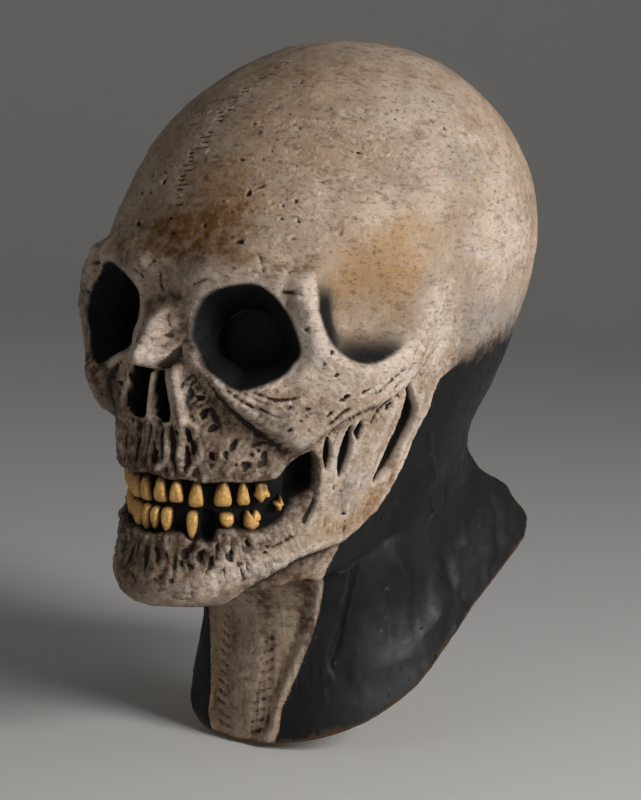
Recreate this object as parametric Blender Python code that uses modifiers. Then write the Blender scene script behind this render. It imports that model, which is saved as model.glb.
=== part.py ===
"""Skull mask: a hollow over-the-head latex mask, a bare skull on a black neck, with gold teeth.

The shell is one casting. Named rings give its plain form, and named outlines on that form raise
or sink the eye sockets, temples, cheekbones, nose, mouth, jaw and neck. Places on the shell are
given by the angle round from the nose and by the distance down the shell from the crown.
Front is -Y, the wearer's left is +X, and the origin is the inner crown where the head carries it.
"""

import math

import bmesh
import bpy
import numpy as np
from mathutils import Matrix, Vector

# Driving sizes, in millimetres
MM = 0.001
WALL = 2.8
CROWN_BEHIND_MIDDLE = 26.0
SOCKET_DEPTH = 25.0
SOCKET_SLOPE = 9.0
TEMPLE_DEPTH = 14.0
TEMPLE_SLOPE = 11.0
CHEEK_RISE = 5.0
NOSE_BONE_RISE = 13.0
NOSE_HOLE_DEPTH = 15.0
MOUTH_DEPTH = 6.5
MOUTH_CORNER_DEPTH = 15.0
JAW_STEP = 6.0
NECK_STRIP_DEPTH = 4.0
NECK_RIDGE_RISE = 2.5
EYE_OPENING_RADIUS = 15.5
EYE_OPENING_SIDES = 28
EYE_MESH_RADIUS = 20.0
EYE_MESH_THICKNESS = 1.0
EYE_MESH_STRETCH = 1.2
EYE_MESH_SIDES = 24
TOOTH_DEPTH = 5.8
TOOTH_SIDES = 10
TOOTH_BANDS = 6
EDGE_SQUARENESS = 3.2
SEAT_GAP = 0.3
MESH_GAP = 0.5
MM_PER_DEGREE = 1.85

# Where an eye opening is centred: degrees from the nose, millimetres down from the crown
EYE_ANGLE = 20
EYE_DOWN = 200

# Plain form. Heights and depths are from the crown's level and the middle of the head.
RING_COLUMNS = ("z_front", "z_side", "z_back", "half_width", "y_front", "y_back", "y_centre", "n_front", "n_back")
RINGS = {
    "crown":     (0, 0, 0, 0, 26, 26, 26, 2.0, 2.0),
    "vault_20":  (-6, -5, -6, 33, -12, 63, 25, 2.0, 2.0),
    "vault_40":  (-23, -21, -24, 60, -45, 94, 23, 2.0, 2.0),
    "vault_60":  (-47, -45, -51, 80, -73, 119, 20, 2.05, 2.0),
    "forehead":  (-77, -74, -83, 90, -93, 130, 16, 2.1, 2.0),
    "brow":      (-107, -103, -113, 91, -106, 127, 14, 2.3, 2.0),
    "orbit":     (-133, -129, -139, 88, -109, 116, 12, 2.55, 2.0),
    "cheek":     (-160, -157, -163, 81, -111, 103, 10, 2.4, 2.1),
    "nose":      (-183, -181, -181, 73, -112, 95, 8, 2.0, 2.1),
    "teeth":     (-210, -201, -189, 69, -112, 94, 10, 1.85, 2.1),
    "chin":      (-243, -217, -196, 64, -110, 96, 12, 1.75, 2.1),
    "jaw_edge":  (-261, -227, -202, 60, -107, 99, 14, 1.8, 2.2),
    "under_jaw": (-263, -238, -206, 57, -50, 104, 18, 1.9, 2.3),
    "throat":    (-277, -255, -211, 56, -34, 112, 24, 1.9, 2.4),
    "neck":      (-305, -277, -218, 60, -32, 128, 32, 1.85, 2.6),
    "hem":       (-338, -298, -226, 66, -34, 150, 36, 1.8, 2.8),
}

# Closed outlines on the shell, as (degrees from the nose, millimetres down), the same on both sides
SOCKET = (
    (7.6, 194), (7.8, 186), (9.6, 179), (14, 174.5), (20, 172), (23.5, 174), (27, 180), (29.8, 188),
    (32, 200), (30.8, 206), (29, 211), (25, 215.5), (19.9, 219), (15.9, 214.5), (11.3, 209), (9, 203),
)
TEMPLE = (
    (35.5, 160), (34.7, 168), (36.4, 184), (40.6, 197.5), (47.5, 204.5), (54.9, 202), (61.7, 193),
    (67.9, 179), (73, 160), (69, 142), (57.5, 130), (46, 128), (38.5, 142),
)
CHEEKBONE = (
    (11, 212), (14, 221), (18, 229), (24, 236.5), (29.5, 244.5), (33, 248.5), (36.3, 248), (40, 242),
    (45, 234.5), (50.5, 229.5), (58, 225), (66, 214), (74, 196), (80, 178), (76, 168), (69, 180),
    (62, 194), (55, 202.5), (47, 205), (40, 198), (36, 184), (34, 166), (29, 168), (30.5, 184),
    (33, 200), (30, 212), (20, 220), (15, 216),
)
NOSE_OPENING = ((-2, 206.5), (1.5, 207), (4.2, 210.5), (6.2, 219), (7.4, 230), (7.2, 237), (5, 241), (1.6, 240), (-2, 239))
NOSTRIL = (
    (0.7, 209), (2.4, 210.5), (4, 217), (5.2, 228), (5.4, 234), (4.6, 238), (3, 238.5), (1.2, 236),
    (0.6, 228), (0.7, 220),
)
MOUTH = (
    (-2, 261), (5.4, 261.2), (9, 261), (12.5, 261), (17, 260.6), (21.6, 260.6), (25.6, 260.6), (29, 259.6),
    (31, 257.5), (33.3, 253), (36, 251.5), (38, 256), (38.6, 264), (38.3, 273), (36.5, 279),
    (35, 284.5), (30, 287), (25.7, 287.8), (21.7, 287.8), (17.3, 287.8), (13.3, 288.8), (11.3, 289.6),
    (9.6, 289.8), (5.7, 289.2), (-2, 288.5),
)
SLOTS = {
    "tendon_slot":     (6.0, ((65.4, 214), (70.5, 222), (72.4, 238), (69.1, 251), (65, 262), (62, 265), (63.5, 252), (66.2, 239), (66.7, 226))),
    "cheek_slot":      (6.0, ((49, 238), (51, 243), (49.8, 253), (48.6, 262), (46.2, 262), (45.7, 251), (46.8, 243))),
    "front_slot":      (4.5, ((42.5, 246), (44.8, 249), (45.1, 256), (43.6, 260), (42.3, 253))),
    "small_slot":      (3.5, ((52.4, 236), (54.2, 239), (53.4, 246), (51.4, 242))),
}

# Open lines on the shell. Each row is the rise, the half width, the fade at the ends, then the line.
JAW_LINE = (
    (84, 215), (82, 235), (77, 255), (70, 271), (62.5, 284), (52, 291.5), (45, 292.5), (36, 294),
    (28, 299), (22, 304), (16, 312), (8, 322), (0, 326),
)
NECK_RIDGE = ((44, 322), (42, 345), (37, 362), (28, 381), (20, 399), (16.5, 414))
BROW_RIDGES = {
    "brow":        (4.0, 7.0, 0.25, ((2, 171), (8, 168), (15, 165), (22, 165), (28, 170), (32, 178))),
    "socket_side": (2.5, 7.0, 0.25, ((30, 172), (33.5, 184), (35.5, 196), (36.5, 208))),
}
CHEEK_RIDGES = {
    "cheek_body":   (2.5, 8.0, 0.25, ((27, 222), (33, 238), (35, 246))),
    "cheek_hollow": (-2.5, 6.0, 0.3, ((10, 222), (15, 235), (22, 245), (30, 252), (35, 254))),
    "nose_flank":   (3.0, 4.5, 0.25, ((7.5, 212), (9, 224), (10, 236), (9, 246))),
}
JAW_RIDGES = {
    "jaw_body":    (2.0, 7.0, 0.25, ((0, 302), (8, 301), (16, 297), (24, 293), (34, 289), (44, 285), (54, 280), (63, 272))),
    "chin":        (3.0, 8.0, 0.0, ((0, 307), (8, 305), (14, 302))),
    "jaw_border":  (2.0, 4.0, 0.25, JAW_LINE[1:9]),
    "wide_tendon": (2.5, 6.0, 0.25, ((64.5, 214), (63, 228), (61.4, 241), (58.5, 253), (54.6, 266))),
    "thin_tendon": (2.0, 3.0, 0.25, ((73.1, 218), (75.2, 232), (74.5, 247), (70, 260), (64.5, 270))),
}

# Teeth: first and last angle, top and bottom down the shell. Left is the wearer's left.
TOOTH_COLUMNS = ("first_angle", "last_angle", "top", "bottom", "root_share")
TEETH = {
    "tooth_upper_left_1":  (0.7, 4.4, 264.4, 273.4, 0.45),
    "tooth_upper_left_2":  (4.8, 8.3, 264.4, 273.0, 0.50),
    "tooth_upper_left_3":  (9.4, 12.9, 264.4, 274.2, 0.40),
    "tooth_upper_left_4":  (15.0, 19.2, 264.2, 273.7, 0.60),
    "tooth_upper_left_5":  (20.1, 23.2, 264.4, 273.2, 0.65),
    "tooth_upper_left_6":  (24.0, 28.2, 264.4, 272.4, 0.65),
    "tooth_upper_left_7":  (28.9, 31.8, 270.5, 276.2, 0.35),
    "tooth_upper_right_1": (-3.7, -0.2, 264.4, 273.8, 0.45),
    "tooth_upper_right_2": (-8.6, -4.1, 265.0, 273.9, 0.50),
    "tooth_upper_right_3": (-12.9, -9.4, 264.4, 274.2, 0.40),
    "tooth_upper_right_4": (-18.2, -14.2, 264.4, 273.7, 0.60),
    "tooth_upper_right_5": (-23.0, -19.2, 264.4, 273.2, 0.65),
    "tooth_upper_right_6": (-28.2, -24.0, 264.4, 272.4, 0.65),
    "tooth_lower_left_1":  (0.1, 2.5, 275.3, 283.0, 0.55),
    "tooth_lower_left_2":  (2.9, 5.8, 275.3, 283.4, 0.55),
    "tooth_lower_left_3":  (8.9, 11.6, 276.2, 285.6, 0.50),
    "tooth_lower_left_4":  (16.2, 19.6, 276.2, 281.6, 0.65),
    "tooth_lower_left_5":  (21.6, 26.0, 275.6, 282.4, 0.60),
    "tooth_lower_right_1": (-2.8, -0.3, 274.9, 283.6, 0.55),
    "tooth_lower_right_2": (-6.4, -3.2, 275.3, 283.4, 0.55),
    "tooth_lower_right_3": (-9.8, -7.0, 275.6, 283.4, 0.55),
    "tooth_lower_right_4": (-15.2, -12.0, 276.0, 283.0, 0.60),
    "tooth_lower_right_5": (-20.5, -17.0, 276.0, 281.6, 0.60),
    "tooth_lower_right_6": (-26.0, -22.0, 276.0, 281.8, 0.60),
}

# Facets: columns of the shell in degrees and rows in millimetres down
COLUMNS = (
    2, 4, 6, 9, 12, 15, 18, 21, 24, 27, 30, 33, 36, 39, 42, 45, 48, 51, 54, 57, 60, 63, 66, 70, 75,
    82, 90, 99, 109, 120, 132, 145, 162,
)
ROWS = (
    12, 28, 46, 66, 86, 106, 124, 140, 153, 162, 168, 173, 178, 184, 191, 198, 205, 209, 213, 219, 226,
    233, 239, 246, 252, 256, 259, 263, 270, 276, 280, 284, 288, 292, 298, 305, 313, 325, 338, 347, 357,
    370, 384, 400,
)

# Colours
BONE = (0.46, 0.37, 0.28, 1.0)
GOLD = (0.60, 0.42, 0.18, 1.0)
BLACK_WEAVE = (0.012, 0.012, 0.013, 1.0)


def ease(t):
    """A soft step from 0 to 1."""
    t = np.clip(t, 0.0, 1.0)
    return t * t * (3.0 - 2.0 * t)


def natural_spline(knots, values, at):
    """Smooth curve through the rows of values, with relaxed ends."""
    n = len(knots)
    h = np.diff(knots)
    system = np.eye(n)
    right = np.zeros_like(values)
    for i in range(1, n - 1):
        system[i, i - 1:i + 2] = (h[i - 1], 2.0 * (h[i - 1] + h[i]), h[i])
        right[i] = 6.0 * ((values[i + 1] - values[i]) / h[i] - (values[i] - values[i - 1]) / h[i - 1])
    bend = np.linalg.solve(system, right)
    i = np.clip(np.searchsorted(knots, at) - 1, 0, n - 2)
    a = ((knots[i + 1] - at) / h[i])[:, None]
    b = ((at - knots[i]) / h[i])[:, None]
    curve = a * values[i] + b * values[i + 1]
    return curve + ((a ** 3 - a) * bend[i] + (b ** 3 - b) * bend[i + 1]) * (h[i] ** 2)[:, None] / 6.0


def smooth_line(points, closed, pieces=6):
    """A rounded line through the points, in millimetres on the unrolled shell."""
    p = np.array(points, float)
    p[:, 0] *= MM_PER_DEGREE
    n = len(p)
    out = []
    for i in range(n if closed else n - 1):
        if closed:
            a, b, c, d = p[(i - 1) % n], p[i], p[(i + 1) % n], p[(i + 2) % n]
        else:
            a, b, c, d = p[max(i - 1, 0)], p[i], p[i + 1], p[min(i + 2, n - 1)]
        for k in range(pieces):
            t = k / pieces
            out.append(0.5 * (2 * b + (c - a) * t + (2 * a - 5 * b + 4 * c - d) * t ** 2
                              + (3 * b - a - 3 * c + d) * t ** 3))
    if not closed:
        out.append(p[-1])
    return np.array(out)


class Shell:
    """The skin of the mask on a grid of one degree by one millimetre.

    base is the plain form, out the direction in which a feature rises, rise the height of the outer
    skin over the form and inner the height of the inner skin, all in millimetres.
    """

    def __init__(self):
        table = np.array(list(RINGS.values()), float)
        column = {name: i for i, name in enumerate(RING_COLUMNS)}
        side = table[:, [column["half_width"], column["z_side"]]]
        front = table[:, [column["y_front"], column["z_front"]]]
        step = (np.linalg.norm(np.diff(side, axis=0), axis=1) + np.linalg.norm(np.diff(front, axis=0), axis=1)) / 2
        knots = np.concatenate([[0.0], np.cumsum(step)])
        # rows mirrored over the crown keep it round
        ghost = table[1:4].copy()
        ghost[:, column["half_width"]] *= -1
        for name in ("y_front", "y_back", "y_centre"):
            ghost[:, column[name]] = 2 * table[0, column[name]] - ghost[:, column[name]]
        self.down = np.append(np.arange(0.0, knots[-1]), knots[-1])
        rows = natural_spline(np.concatenate([-knots[1:4][::-1], knots]), np.concatenate([ghost[::-1], table]), self.down)
        z_front, z_side, z_back, half, y_front, y_back, y_centre, n_front, n_back = rows.T[:, :, None]
        degrees = np.arange(-180, 180)
        angle = np.radians(degrees)[None]
        cosine, sine = np.cos(angle), np.sin(angle)
        reach = np.maximum(np.where(cosine > 0, y_centre - y_front, y_back - y_centre), 1e-6)
        power = np.where(cosine > 0, n_front, n_back)
        radius = (np.abs(cosine / reach) ** power + np.abs(sine / np.maximum(half, 1e-6)) ** power) ** (-1 / power)
        height = z_side + (z_front - z_back) / 2 * cosine + ((z_front + z_back) / 2 - z_side) * cosine ** 2
        self.base = np.stack([radius * sine, y_centre - radius * cosine, height], -1)
        self.base -= (0.0, CROWN_BEHIND_MIDDLE, -WALL)
        self.angle = np.abs(degrees)[None] * np.ones_like(radius)
        self.depth = self.down[:, None] * np.ones_like(radius)
        self.place = np.stack([self.angle * MM_PER_DEGREE, self.depth], -1)
        self.out = self.soft_directions()
        self.rise = np.zeros_like(radius)
        self.shape_features()
        self.inner = self.inner_skin()

    def soft_directions(self, reach=15.0):
        """Outward directions, evened out down the shell so that a fold never closes on itself."""
        along = np.roll(self.base, -1, 1) - np.roll(self.base, 1, 1)
        normal = np.cross(np.gradient(self.base, axis=0), along)
        normal[0] = (0.0, 0.0, 1.0)
        normal /= np.maximum(np.linalg.norm(normal, axis=-1, keepdims=True), 1e-9)
        here, there = self.down[:, None], self.down[None]
        near = np.exp(-0.5 * ((here - there) / reach) ** 2)
        over = np.exp(-0.5 * ((here + there) / reach) ** 2)
        total = np.tensordot(near, normal, 1) + np.tensordot(over, np.roll(normal, 180, axis=1), 1)
        return total / np.linalg.norm(total, axis=-1, keepdims=True)

    def inside(self, outline):
        """Distance in from a closed outline in millimetres, negative outside it."""
        line = smooth_line(outline, True)
        low, high = line.min(0) - 30, line.max(0) + 30
        near = ((self.place >= low) & (self.place <= high)).all(-1)
        q = self.place[near]
        best = np.full(len(q), 1e9)
        within = np.zeros(len(q), bool)
        for a, b in zip(line, np.roll(line, -1, axis=0)):
            run = b - a
            t = np.clip((q - a) @ run / max(run @ run, 1e-12), 0.0, 1.0)
            best = np.minimum(best, np.linalg.norm(q - a - t[:, None] * run, axis=1))
            if a[1] != b[1]:
                crosses = (a[1] > q[:, 1]) != (b[1] > q[:, 1])
                within ^= crosses & (q[:, 0] < run[0] * (q[:, 1] - a[1]) / run[1] + a[0])
        result = np.full(self.angle.shape, -50.0)
        result[near] = np.where(within, best, -best)
        return result

    def add_ridge(self, height, width, fade, points):
        """Raise a rounded ridge along an open line, or sink a groove if the height is negative."""
        line = smooth_line(points, False)
        low, high = line.min(0) - 30, line.max(0) + 30
        near = ((self.place >= low) & (self.place <= high)).all(-1)
        q = self.place[near]
        lengths = np.concatenate([[0.0], np.cumsum(np.linalg.norm(np.diff(line, axis=0), axis=1))])
        best = np.full(len(q), 1e9)
        share = np.zeros(len(q))
        for i, (a, b) in enumerate(zip(line[:-1], line[1:])):
            run = b - a
            t = np.clip((q - a) @ run / max(run @ run, 1e-12), 0.0, 1.0)
            distance = np.linalg.norm(q - a - t[:, None] * run, axis=1)
            share = np.where(distance < best, (lengths[i] + t * np.linalg.norm(run)) / lengths[-1], share)
            best = np.minimum(best, distance)
        strength = np.exp(-(best / width) ** 2)
        if fade > 0:
            strength *= 0.15 + 0.85 * ease(share / fade) * ease((1 - share) / fade)
        self.rise[near] += height * strength

    def sink_to(self, depth, outline, slope, start=0.8):
        """Sink the skin inside an outline to a floor of its own."""
        share = ease((self.inside(outline) + start) / slope)
        self.rise += (-depth - self.rise) * share

    def shape_features(self):
        """Raise and sink the bones and openings, from the brow to the neck."""
        across = self.angle * MM_PER_DEGREE
        down = self.depth
        for ridge in BROW_RIDGES.values():
            self.add_ridge(*ridge)
        self.rise -= 3.0 * np.exp(-(across / 9.0) ** 2 - ((down - 182.0) / 8.0) ** 2)
        self.rise += CHEEK_RISE * ease((self.inside(CHEEKBONE) + 3.5) / 8.0)
        for ridge in CHEEK_RIDGES.values():
            self.add_ridge(*ridge)
        deep = np.exp(-((self.angle - 44.0) / 19.0) ** 2 - ((down - 194.0) / 30.0) ** 2)
        self.rise -= TEMPLE_DEPTH * deep * ease(self.inside(TEMPLE) / TEMPLE_SLOPE)
        # nose bone: widens towards its broken lower edge
        share = np.clip((down - 178.0) / 30.0, 0.0, 1.0)
        bone = np.exp(-(across / (6.0 + 5.0 * share)) ** 2) * ease((down - 174.0) / 20.0) * ease((212.5 - down) / 4.5)
        self.rise += (3.0 + (NOSE_BONE_RISE - 3.0) * share) * bone
        self.rise -= 5.0 * ease((self.inside(NOSE_OPENING) + 0.5) / 3.5)
        self.sink_to(NOSE_HOLE_DEPTH, NOSTRIL, 2.6)
        self.sink_to(SOCKET_DEPTH, SOCKET, SOCKET_SLOPE, 1.0)
        corner = ease((self.angle - 31.0) / 4.0)
        self.sink_to(MOUTH_DEPTH + (MOUTH_CORNER_DEPTH - MOUTH_DEPTH) * corner, MOUTH, 2.4, 0.6)
        for ridge in JAW_RIDGES.values():
            self.add_ridge(*ridge)
        hem = self.down[-1]
        behind = self.inside(JAW_LINE + ((0, hem), (120, hem), (120, 215)))
        self.rise -= JAW_STEP * ease((behind + 1.0) / 6.0) * ease((358.0 - down) / 40.0) * ease((100.0 - self.angle) / 20.0)
        for depth, outline in SLOTS.values():
            self.rise -= depth * ease((self.inside(outline) + 0.8) / 3.0)
        strip = self.inside(NECK_RIDGE + ((-3, hem + 3), (-3, 322)))
        self.rise -= NECK_STRIP_DEPTH * ease(strip / 6.0)
        self.add_ridge(NECK_RIDGE_RISE, 3.2, 0.0, NECK_RIDGE)

    def inner_skin(self):
        """The inner skin: one wall under the lowest outer skin nearby, so that no recess breaks through."""
        low = self.rise
        for axis, reach in ((1, 6), (0, 9)):
            if axis == 0:
                low = np.concatenate([np.repeat(low[:1], reach, 0), low, np.repeat(low[-1:], reach, 0)])
                stack = [low[k:k + len(self.down)] for k in range(2 * reach + 1)]
            else:
                stack = [np.roll(low, k, axis) for k in range(-reach, reach + 1)]
            low = np.min(stack, axis=0)
        return low - WALL

    def row(self, down):
        """Row of the grid at a distance down the shell."""
        return len(self.down) - 1 if down >= self.down[-1] else int(round(down))

    def point(self, degrees, down, rise):
        """A place in space, from the grid's four nearest points."""
        i = min(max(down, 0.0), self.down[-1] - 1.001)
        j = degrees + 180.0
        i0, j0 = int(i), int(math.floor(j))
        s, t = i - i0, j - j0
        place = np.zeros(3)
        for row, share_row in ((i0, 1 - s), (i0 + 1, s)):
            for col, share_col in ((j0 % 360, 1 - t), ((j0 + 1) % 360, t)):
                place += share_row * share_col * (self.base[row, col] + rise * self.out[row, col])
        return place


def make_material(name, colour, roughness, metallic):
    """A Principled material."""
    material = bpy.data.materials.new(name)
    material.use_nodes = True
    shader = material.node_tree.nodes["Principled BSDF"]
    shader.inputs["Base Color"].default_value = colour
    shader.inputs["Roughness"].default_value = roughness
    shader.inputs["Metallic"].default_value = metallic
    material.diffuse_color = colour
    return material


def make_object(name, bm, material, collection):
    """An object from a mesh in millimetres."""
    bmesh.ops.scale(bm, vec=(MM, MM, MM), verts=bm.verts)
    mesh = bpy.data.meshes.new(name)
    bm.to_mesh(mesh)
    bm.free()
    mesh.materials.append(material)
    item = bpy.data.objects.new(name, mesh)
    collection.objects.link(item)
    return item


def loft_skin(bm, shell, columns, rows, height):
    """Loft one skin through its rows from the crown to the hem. Returns the points of the hem."""
    pole = bm.verts.new(shell.base[0, 180] + height[0, 180] * shell.out[0, 180])
    rings = []
    for down in rows:
        i = shell.row(down)
        places = [shell.base[i, j] + height[i, j] * shell.out[i, j] for j in ((c + 180) % 360 for c in columns)]
        rings.append([bm.verts.new(place) for place in places])
    for k, vert in enumerate(rings[0]):
        bm.faces.new((pole, rings[0][k - 1], vert))
    for upper, lower in zip(rings[:-1], rings[1:]):
        for k in range(len(columns)):
            bm.faces.new((upper[k - 1], lower[k - 1], lower[k], upper[k]))
    return rings[-1]


def build_latex_shell(shell, material, collection):
    """The casting: outer skin, inner skin at half the facets, and the cut hem between them."""
    columns = [0, *COLUMNS, 180, *(360 - angle for angle in reversed(COLUMNS))]
    rows = [*ROWS, shell.down[-1]]
    bm = bmesh.new()
    outer_hem = loft_skin(bm, shell, columns, rows, shell.rise)
    inner_hem = loft_skin(bm, shell, columns[::2], rows[::-2][::-1], shell.inner)
    for k, near in enumerate(inner_hem):
        far = inner_hem[k - 1]
        a, b, c = outer_hem[2 * k], outer_hem[2 * k - 1], outer_hem[2 * k - 2]
        bm.faces.new((a, near, b))
        bm.faces.new((b, near, far))
        bm.faces.new((b, far, c))
    bmesh.ops.recalc_face_normals(bm, faces=bm.faces)
    return make_object("latex_shell", bm, material, collection)


def side_name(side):
    """The word for a side: left is the wearer's left."""
    return "left" if side > 0 else "right"


def cut_eye_opening(shell, side, body, cutters):
    """Cut a round eye opening through the floor of the socket."""
    start = Vector(shell.point(side * EYE_ANGLE, EYE_DOWN, -SOCKET_DEPTH - 30.0))
    end = Vector(shell.point(side * EYE_ANGLE, EYE_DOWN, -SOCKET_DEPTH + 8.0))
    bm = bmesh.new()
    bmesh.ops.create_cone(bm, cap_ends=True, segments=EYE_OPENING_SIDES, radius1=EYE_OPENING_RADIUS,
                          radius2=EYE_OPENING_RADIUS, depth=(end - start).length)
    turn = (end - start).to_track_quat("Z", "Y").to_matrix().to_4x4()
    bmesh.ops.transform(bm, matrix=Matrix.Translation((start + end) / 2) @ turn, verts=bm.verts)
    cutter = make_object("eye_cutter_" + side_name(side), bm, body.data.materials[0], cutters)
    cutter.hide_render = True
    cutter.display_type = "WIRE"
    cut = body.modifiers.new(cutter.name, "BOOLEAN")
    cut.operation = "DIFFERENCE"
    cut.solver = "EXACT"
    cut.object = cutter


def build_eye_mesh(shell, side, material, collection):
    """A woven panel glued behind an eye opening, following the inner skin."""
    reach = int(EYE_MESH_RADIUS * EYE_MESH_STRETCH / MM_PER_DEGREE) + 1
    rows = slice(EYE_DOWN - int(EYE_MESH_RADIUS) - 4, EYE_DOWN + int(EYE_MESH_RADIUS) + 5)
    columns = slice(180 + EYE_ANGLE - reach, 180 + EYE_ANGLE + reach + 1)
    level = shell.inner[rows, columns].min() - MESH_GAP
    bm = bmesh.new()
    bmesh.ops.create_circle(bm, cap_ends=True, cap_tris=True, segments=EYE_MESH_SIDES, radius=EYE_MESH_RADIUS)
    for vert in bm.verts:
        degrees = side * (EYE_ANGLE + vert.co.x * EYE_MESH_STRETCH / MM_PER_DEGREE)
        vert.co = shell.point(degrees, EYE_DOWN - vert.co.y, level)
    panel = make_object("eye_mesh_" + side_name(side), bm, material, collection)
    faces_out = Vector(shell.out[EYE_DOWN, 180 + side * EYE_ANGLE]).dot(panel.data.polygons[0].normal) > 0
    thick = panel.modifiers.new("thickness", "SOLIDIFY")
    thick.thickness = EYE_MESH_THICKNESS * MM
    thick.offset = -1.0 if faces_out else 1.0
    thick.use_even_offset = True


def build_tooth(shell, name, material, collection):
    """One moulded tooth from a ball: flat at the gum, narrow at the root and squarer at the biting edge."""
    first, last, top, bottom, root_share = TEETH[name]
    middle, half = (first + last) / 2, (last - first) / 2
    level, tall = (top + bottom) / 2, (bottom - top) / 2
    root = 1.0 if "upper" in name else -1.0
    bm = bmesh.new()
    bmesh.ops.create_uvsphere(bm, u_segments=TOOTH_SIDES, v_segments=TOOTH_BANDS, radius=1.0)
    for vert in bm.verts:
        x, y, z = vert.co
        flat = math.hypot(x, y)
        if flat > 0.001:
            power = EDGE_SQUARENESS if y * root < 0 else 2.0
            square = (abs(x / flat) ** power + abs(y / flat) ** power) ** (-1.0 / power)
            x, y = x * square, y * square
        x *= 1.0 - (1.0 - root_share) * ease((y * root + 0.2) / 1.2)
        rise = -MOUTH_DEPTH + SEAT_GAP + TOOTH_DEPTH * max((z + 0.5) / 1.5, 0.0) ** 0.8
        vert.co = shell.point(middle + x * half, level - y * tall, rise)
    make_object(name, bm, material, collection)


def main():
    """Build the mask."""
    for item in list(bpy.data.objects):
        bpy.data.objects.remove(item, do_unlink=True)
    scene = bpy.context.scene
    scene.unit_settings.system = "METRIC"
    mask = bpy.data.collections.new("skull_mask")
    cutters = bpy.data.collections.new("cutters")
    scene.collection.children.link(mask)
    scene.collection.children.link(cutters)
    latex = make_material("painted_latex", BONE, 0.62, 0.0)
    gold = make_material("gold_paint", GOLD, 0.38, 0.6)
    weave = make_material("black_weave", BLACK_WEAVE, 0.8, 0.0)
    shell = Shell()
    body = build_latex_shell(shell, latex, mask)
    for side in (1, -1):
        cut_eye_opening(shell, side, body, cutters)
        build_eye_mesh(shell, side, weave, mask)
    for name in TEETH:
        build_tooth(shell, name, gold, mask)


main()
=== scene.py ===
"""Looks of the skull mask: a painted over-the-head latex skull with gold teeth and a black neck.

Places on the latex are given as in the part: by the angle in degrees round from the nose, with
the wearer's left positive, and by the distance down the shell from the crown in millimetres.
The camera stands where the photograph was taken from, and its frame is 641 by 800.
"""

import logging
import math
from dataclasses import dataclass, field
from enum import Enum

import bmesh
import bpy
import numpy as np
from mathutils import Matrix, Vector, noise

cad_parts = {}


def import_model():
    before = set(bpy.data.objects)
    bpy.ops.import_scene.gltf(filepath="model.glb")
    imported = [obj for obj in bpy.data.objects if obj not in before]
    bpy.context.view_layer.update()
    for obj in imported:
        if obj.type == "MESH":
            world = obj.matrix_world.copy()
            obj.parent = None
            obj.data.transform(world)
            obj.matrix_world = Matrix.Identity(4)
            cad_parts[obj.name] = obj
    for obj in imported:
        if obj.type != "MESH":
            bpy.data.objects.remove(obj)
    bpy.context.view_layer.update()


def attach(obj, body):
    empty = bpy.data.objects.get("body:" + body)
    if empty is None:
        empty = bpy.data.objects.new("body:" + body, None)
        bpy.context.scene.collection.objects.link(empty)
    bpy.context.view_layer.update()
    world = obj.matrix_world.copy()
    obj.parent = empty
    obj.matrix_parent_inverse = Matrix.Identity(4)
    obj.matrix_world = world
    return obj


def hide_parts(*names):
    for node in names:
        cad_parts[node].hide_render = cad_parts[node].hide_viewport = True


LOG = logging.getLogger("skull_mask")
MM = 0.001
Line = tuple[tuple[float, float], ...]

WALL = 2.8
CROWN_BEHIND_MIDDLE = 26.0
SOCKET_DEPTH = 25.0
SOCKET_SLOPE = 9.0
TEMPLE_DEPTH = 14.0
TEMPLE_SLOPE = 11.0
CHEEK_RISE = 5.0
NOSE_BONE_RISE = 18.0
NOSE_HOLE_DEPTH = 15.0
MOUTH_DEPTH = 6.5
MOUTH_CORNER_DEPTH = 15.0
JAW_STEP = 6.0
NECK_STRIP_DEPTH = 2.6
NECK_RIDGE_RISE = 1.0
EYE_ANGLE = 20.0
EYE_DOWN = 200.0
EYE_OPENING_RADIUS = 15.5
EYE_MESH_RADIUS = 20.0
EYE_MESH_THICKNESS = 1.0
EYE_MESH_STRETCH = 1.2
MESH_GAP = 0.5
TOOTH_DEPTH = 5.8
SEAT_GAP = 0.3
MM_PER_DEGREE = 1.85
MM_AT_FACE = 1.5
OTHER_SIDE_SHIFT = 0.7
TOOTH_ROOTS = (14.0, 236.0, 264.0)
SUTURE_DEPTH = 0.85
SUTURE_WIDTH = 0.5
SMOOTH_ABOVE = 180.0
SMOOTH_SHARE = 0.6
RIB_DEPTH = 0.75
RIB_WIDTH = 1.1
EMPTY_SOCKET_DEPTH = 10.0
RELIEF_SPACING = 17.3
LIP_RISE = 0.7
LIP_RADIUS = 18.5
LIP_WIDTH = 1.2
BOTH_SIDES_FROM = 15.0
FADE_LINE = ((84, 208), (92, 203), (107, 193), (131, 186), (180, 181))
FADE_LENGTH = 30.0
NOSE_DIP = -1.0
SEPTUM_RISE = 4.5
SEPTUM_WIDTH = 1.1
MOUTH_HALO = 6.0
RIDGE_HALF_WIDTH = 3.6
RIM_WIDTH = 1.2
FAR_RIDGE_HALF_WIDTH = -2.0
TOOTH_FULLNESS = (1.02, 1.24)
LOWER_TOOTH_DROP = 1.0
EYE_PAINT_SPREAD = 9.0
TOOTH_FRONT = -1.9
FAR_TEETH_FROM = -6.9
FAR_TEETH_SINK = 1.8
TOOTH_LEAN = 0.09
TOOTH_LUMP = 2.6
LEAN_SEED = 3
Colour = tuple[float, float, float]

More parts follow.
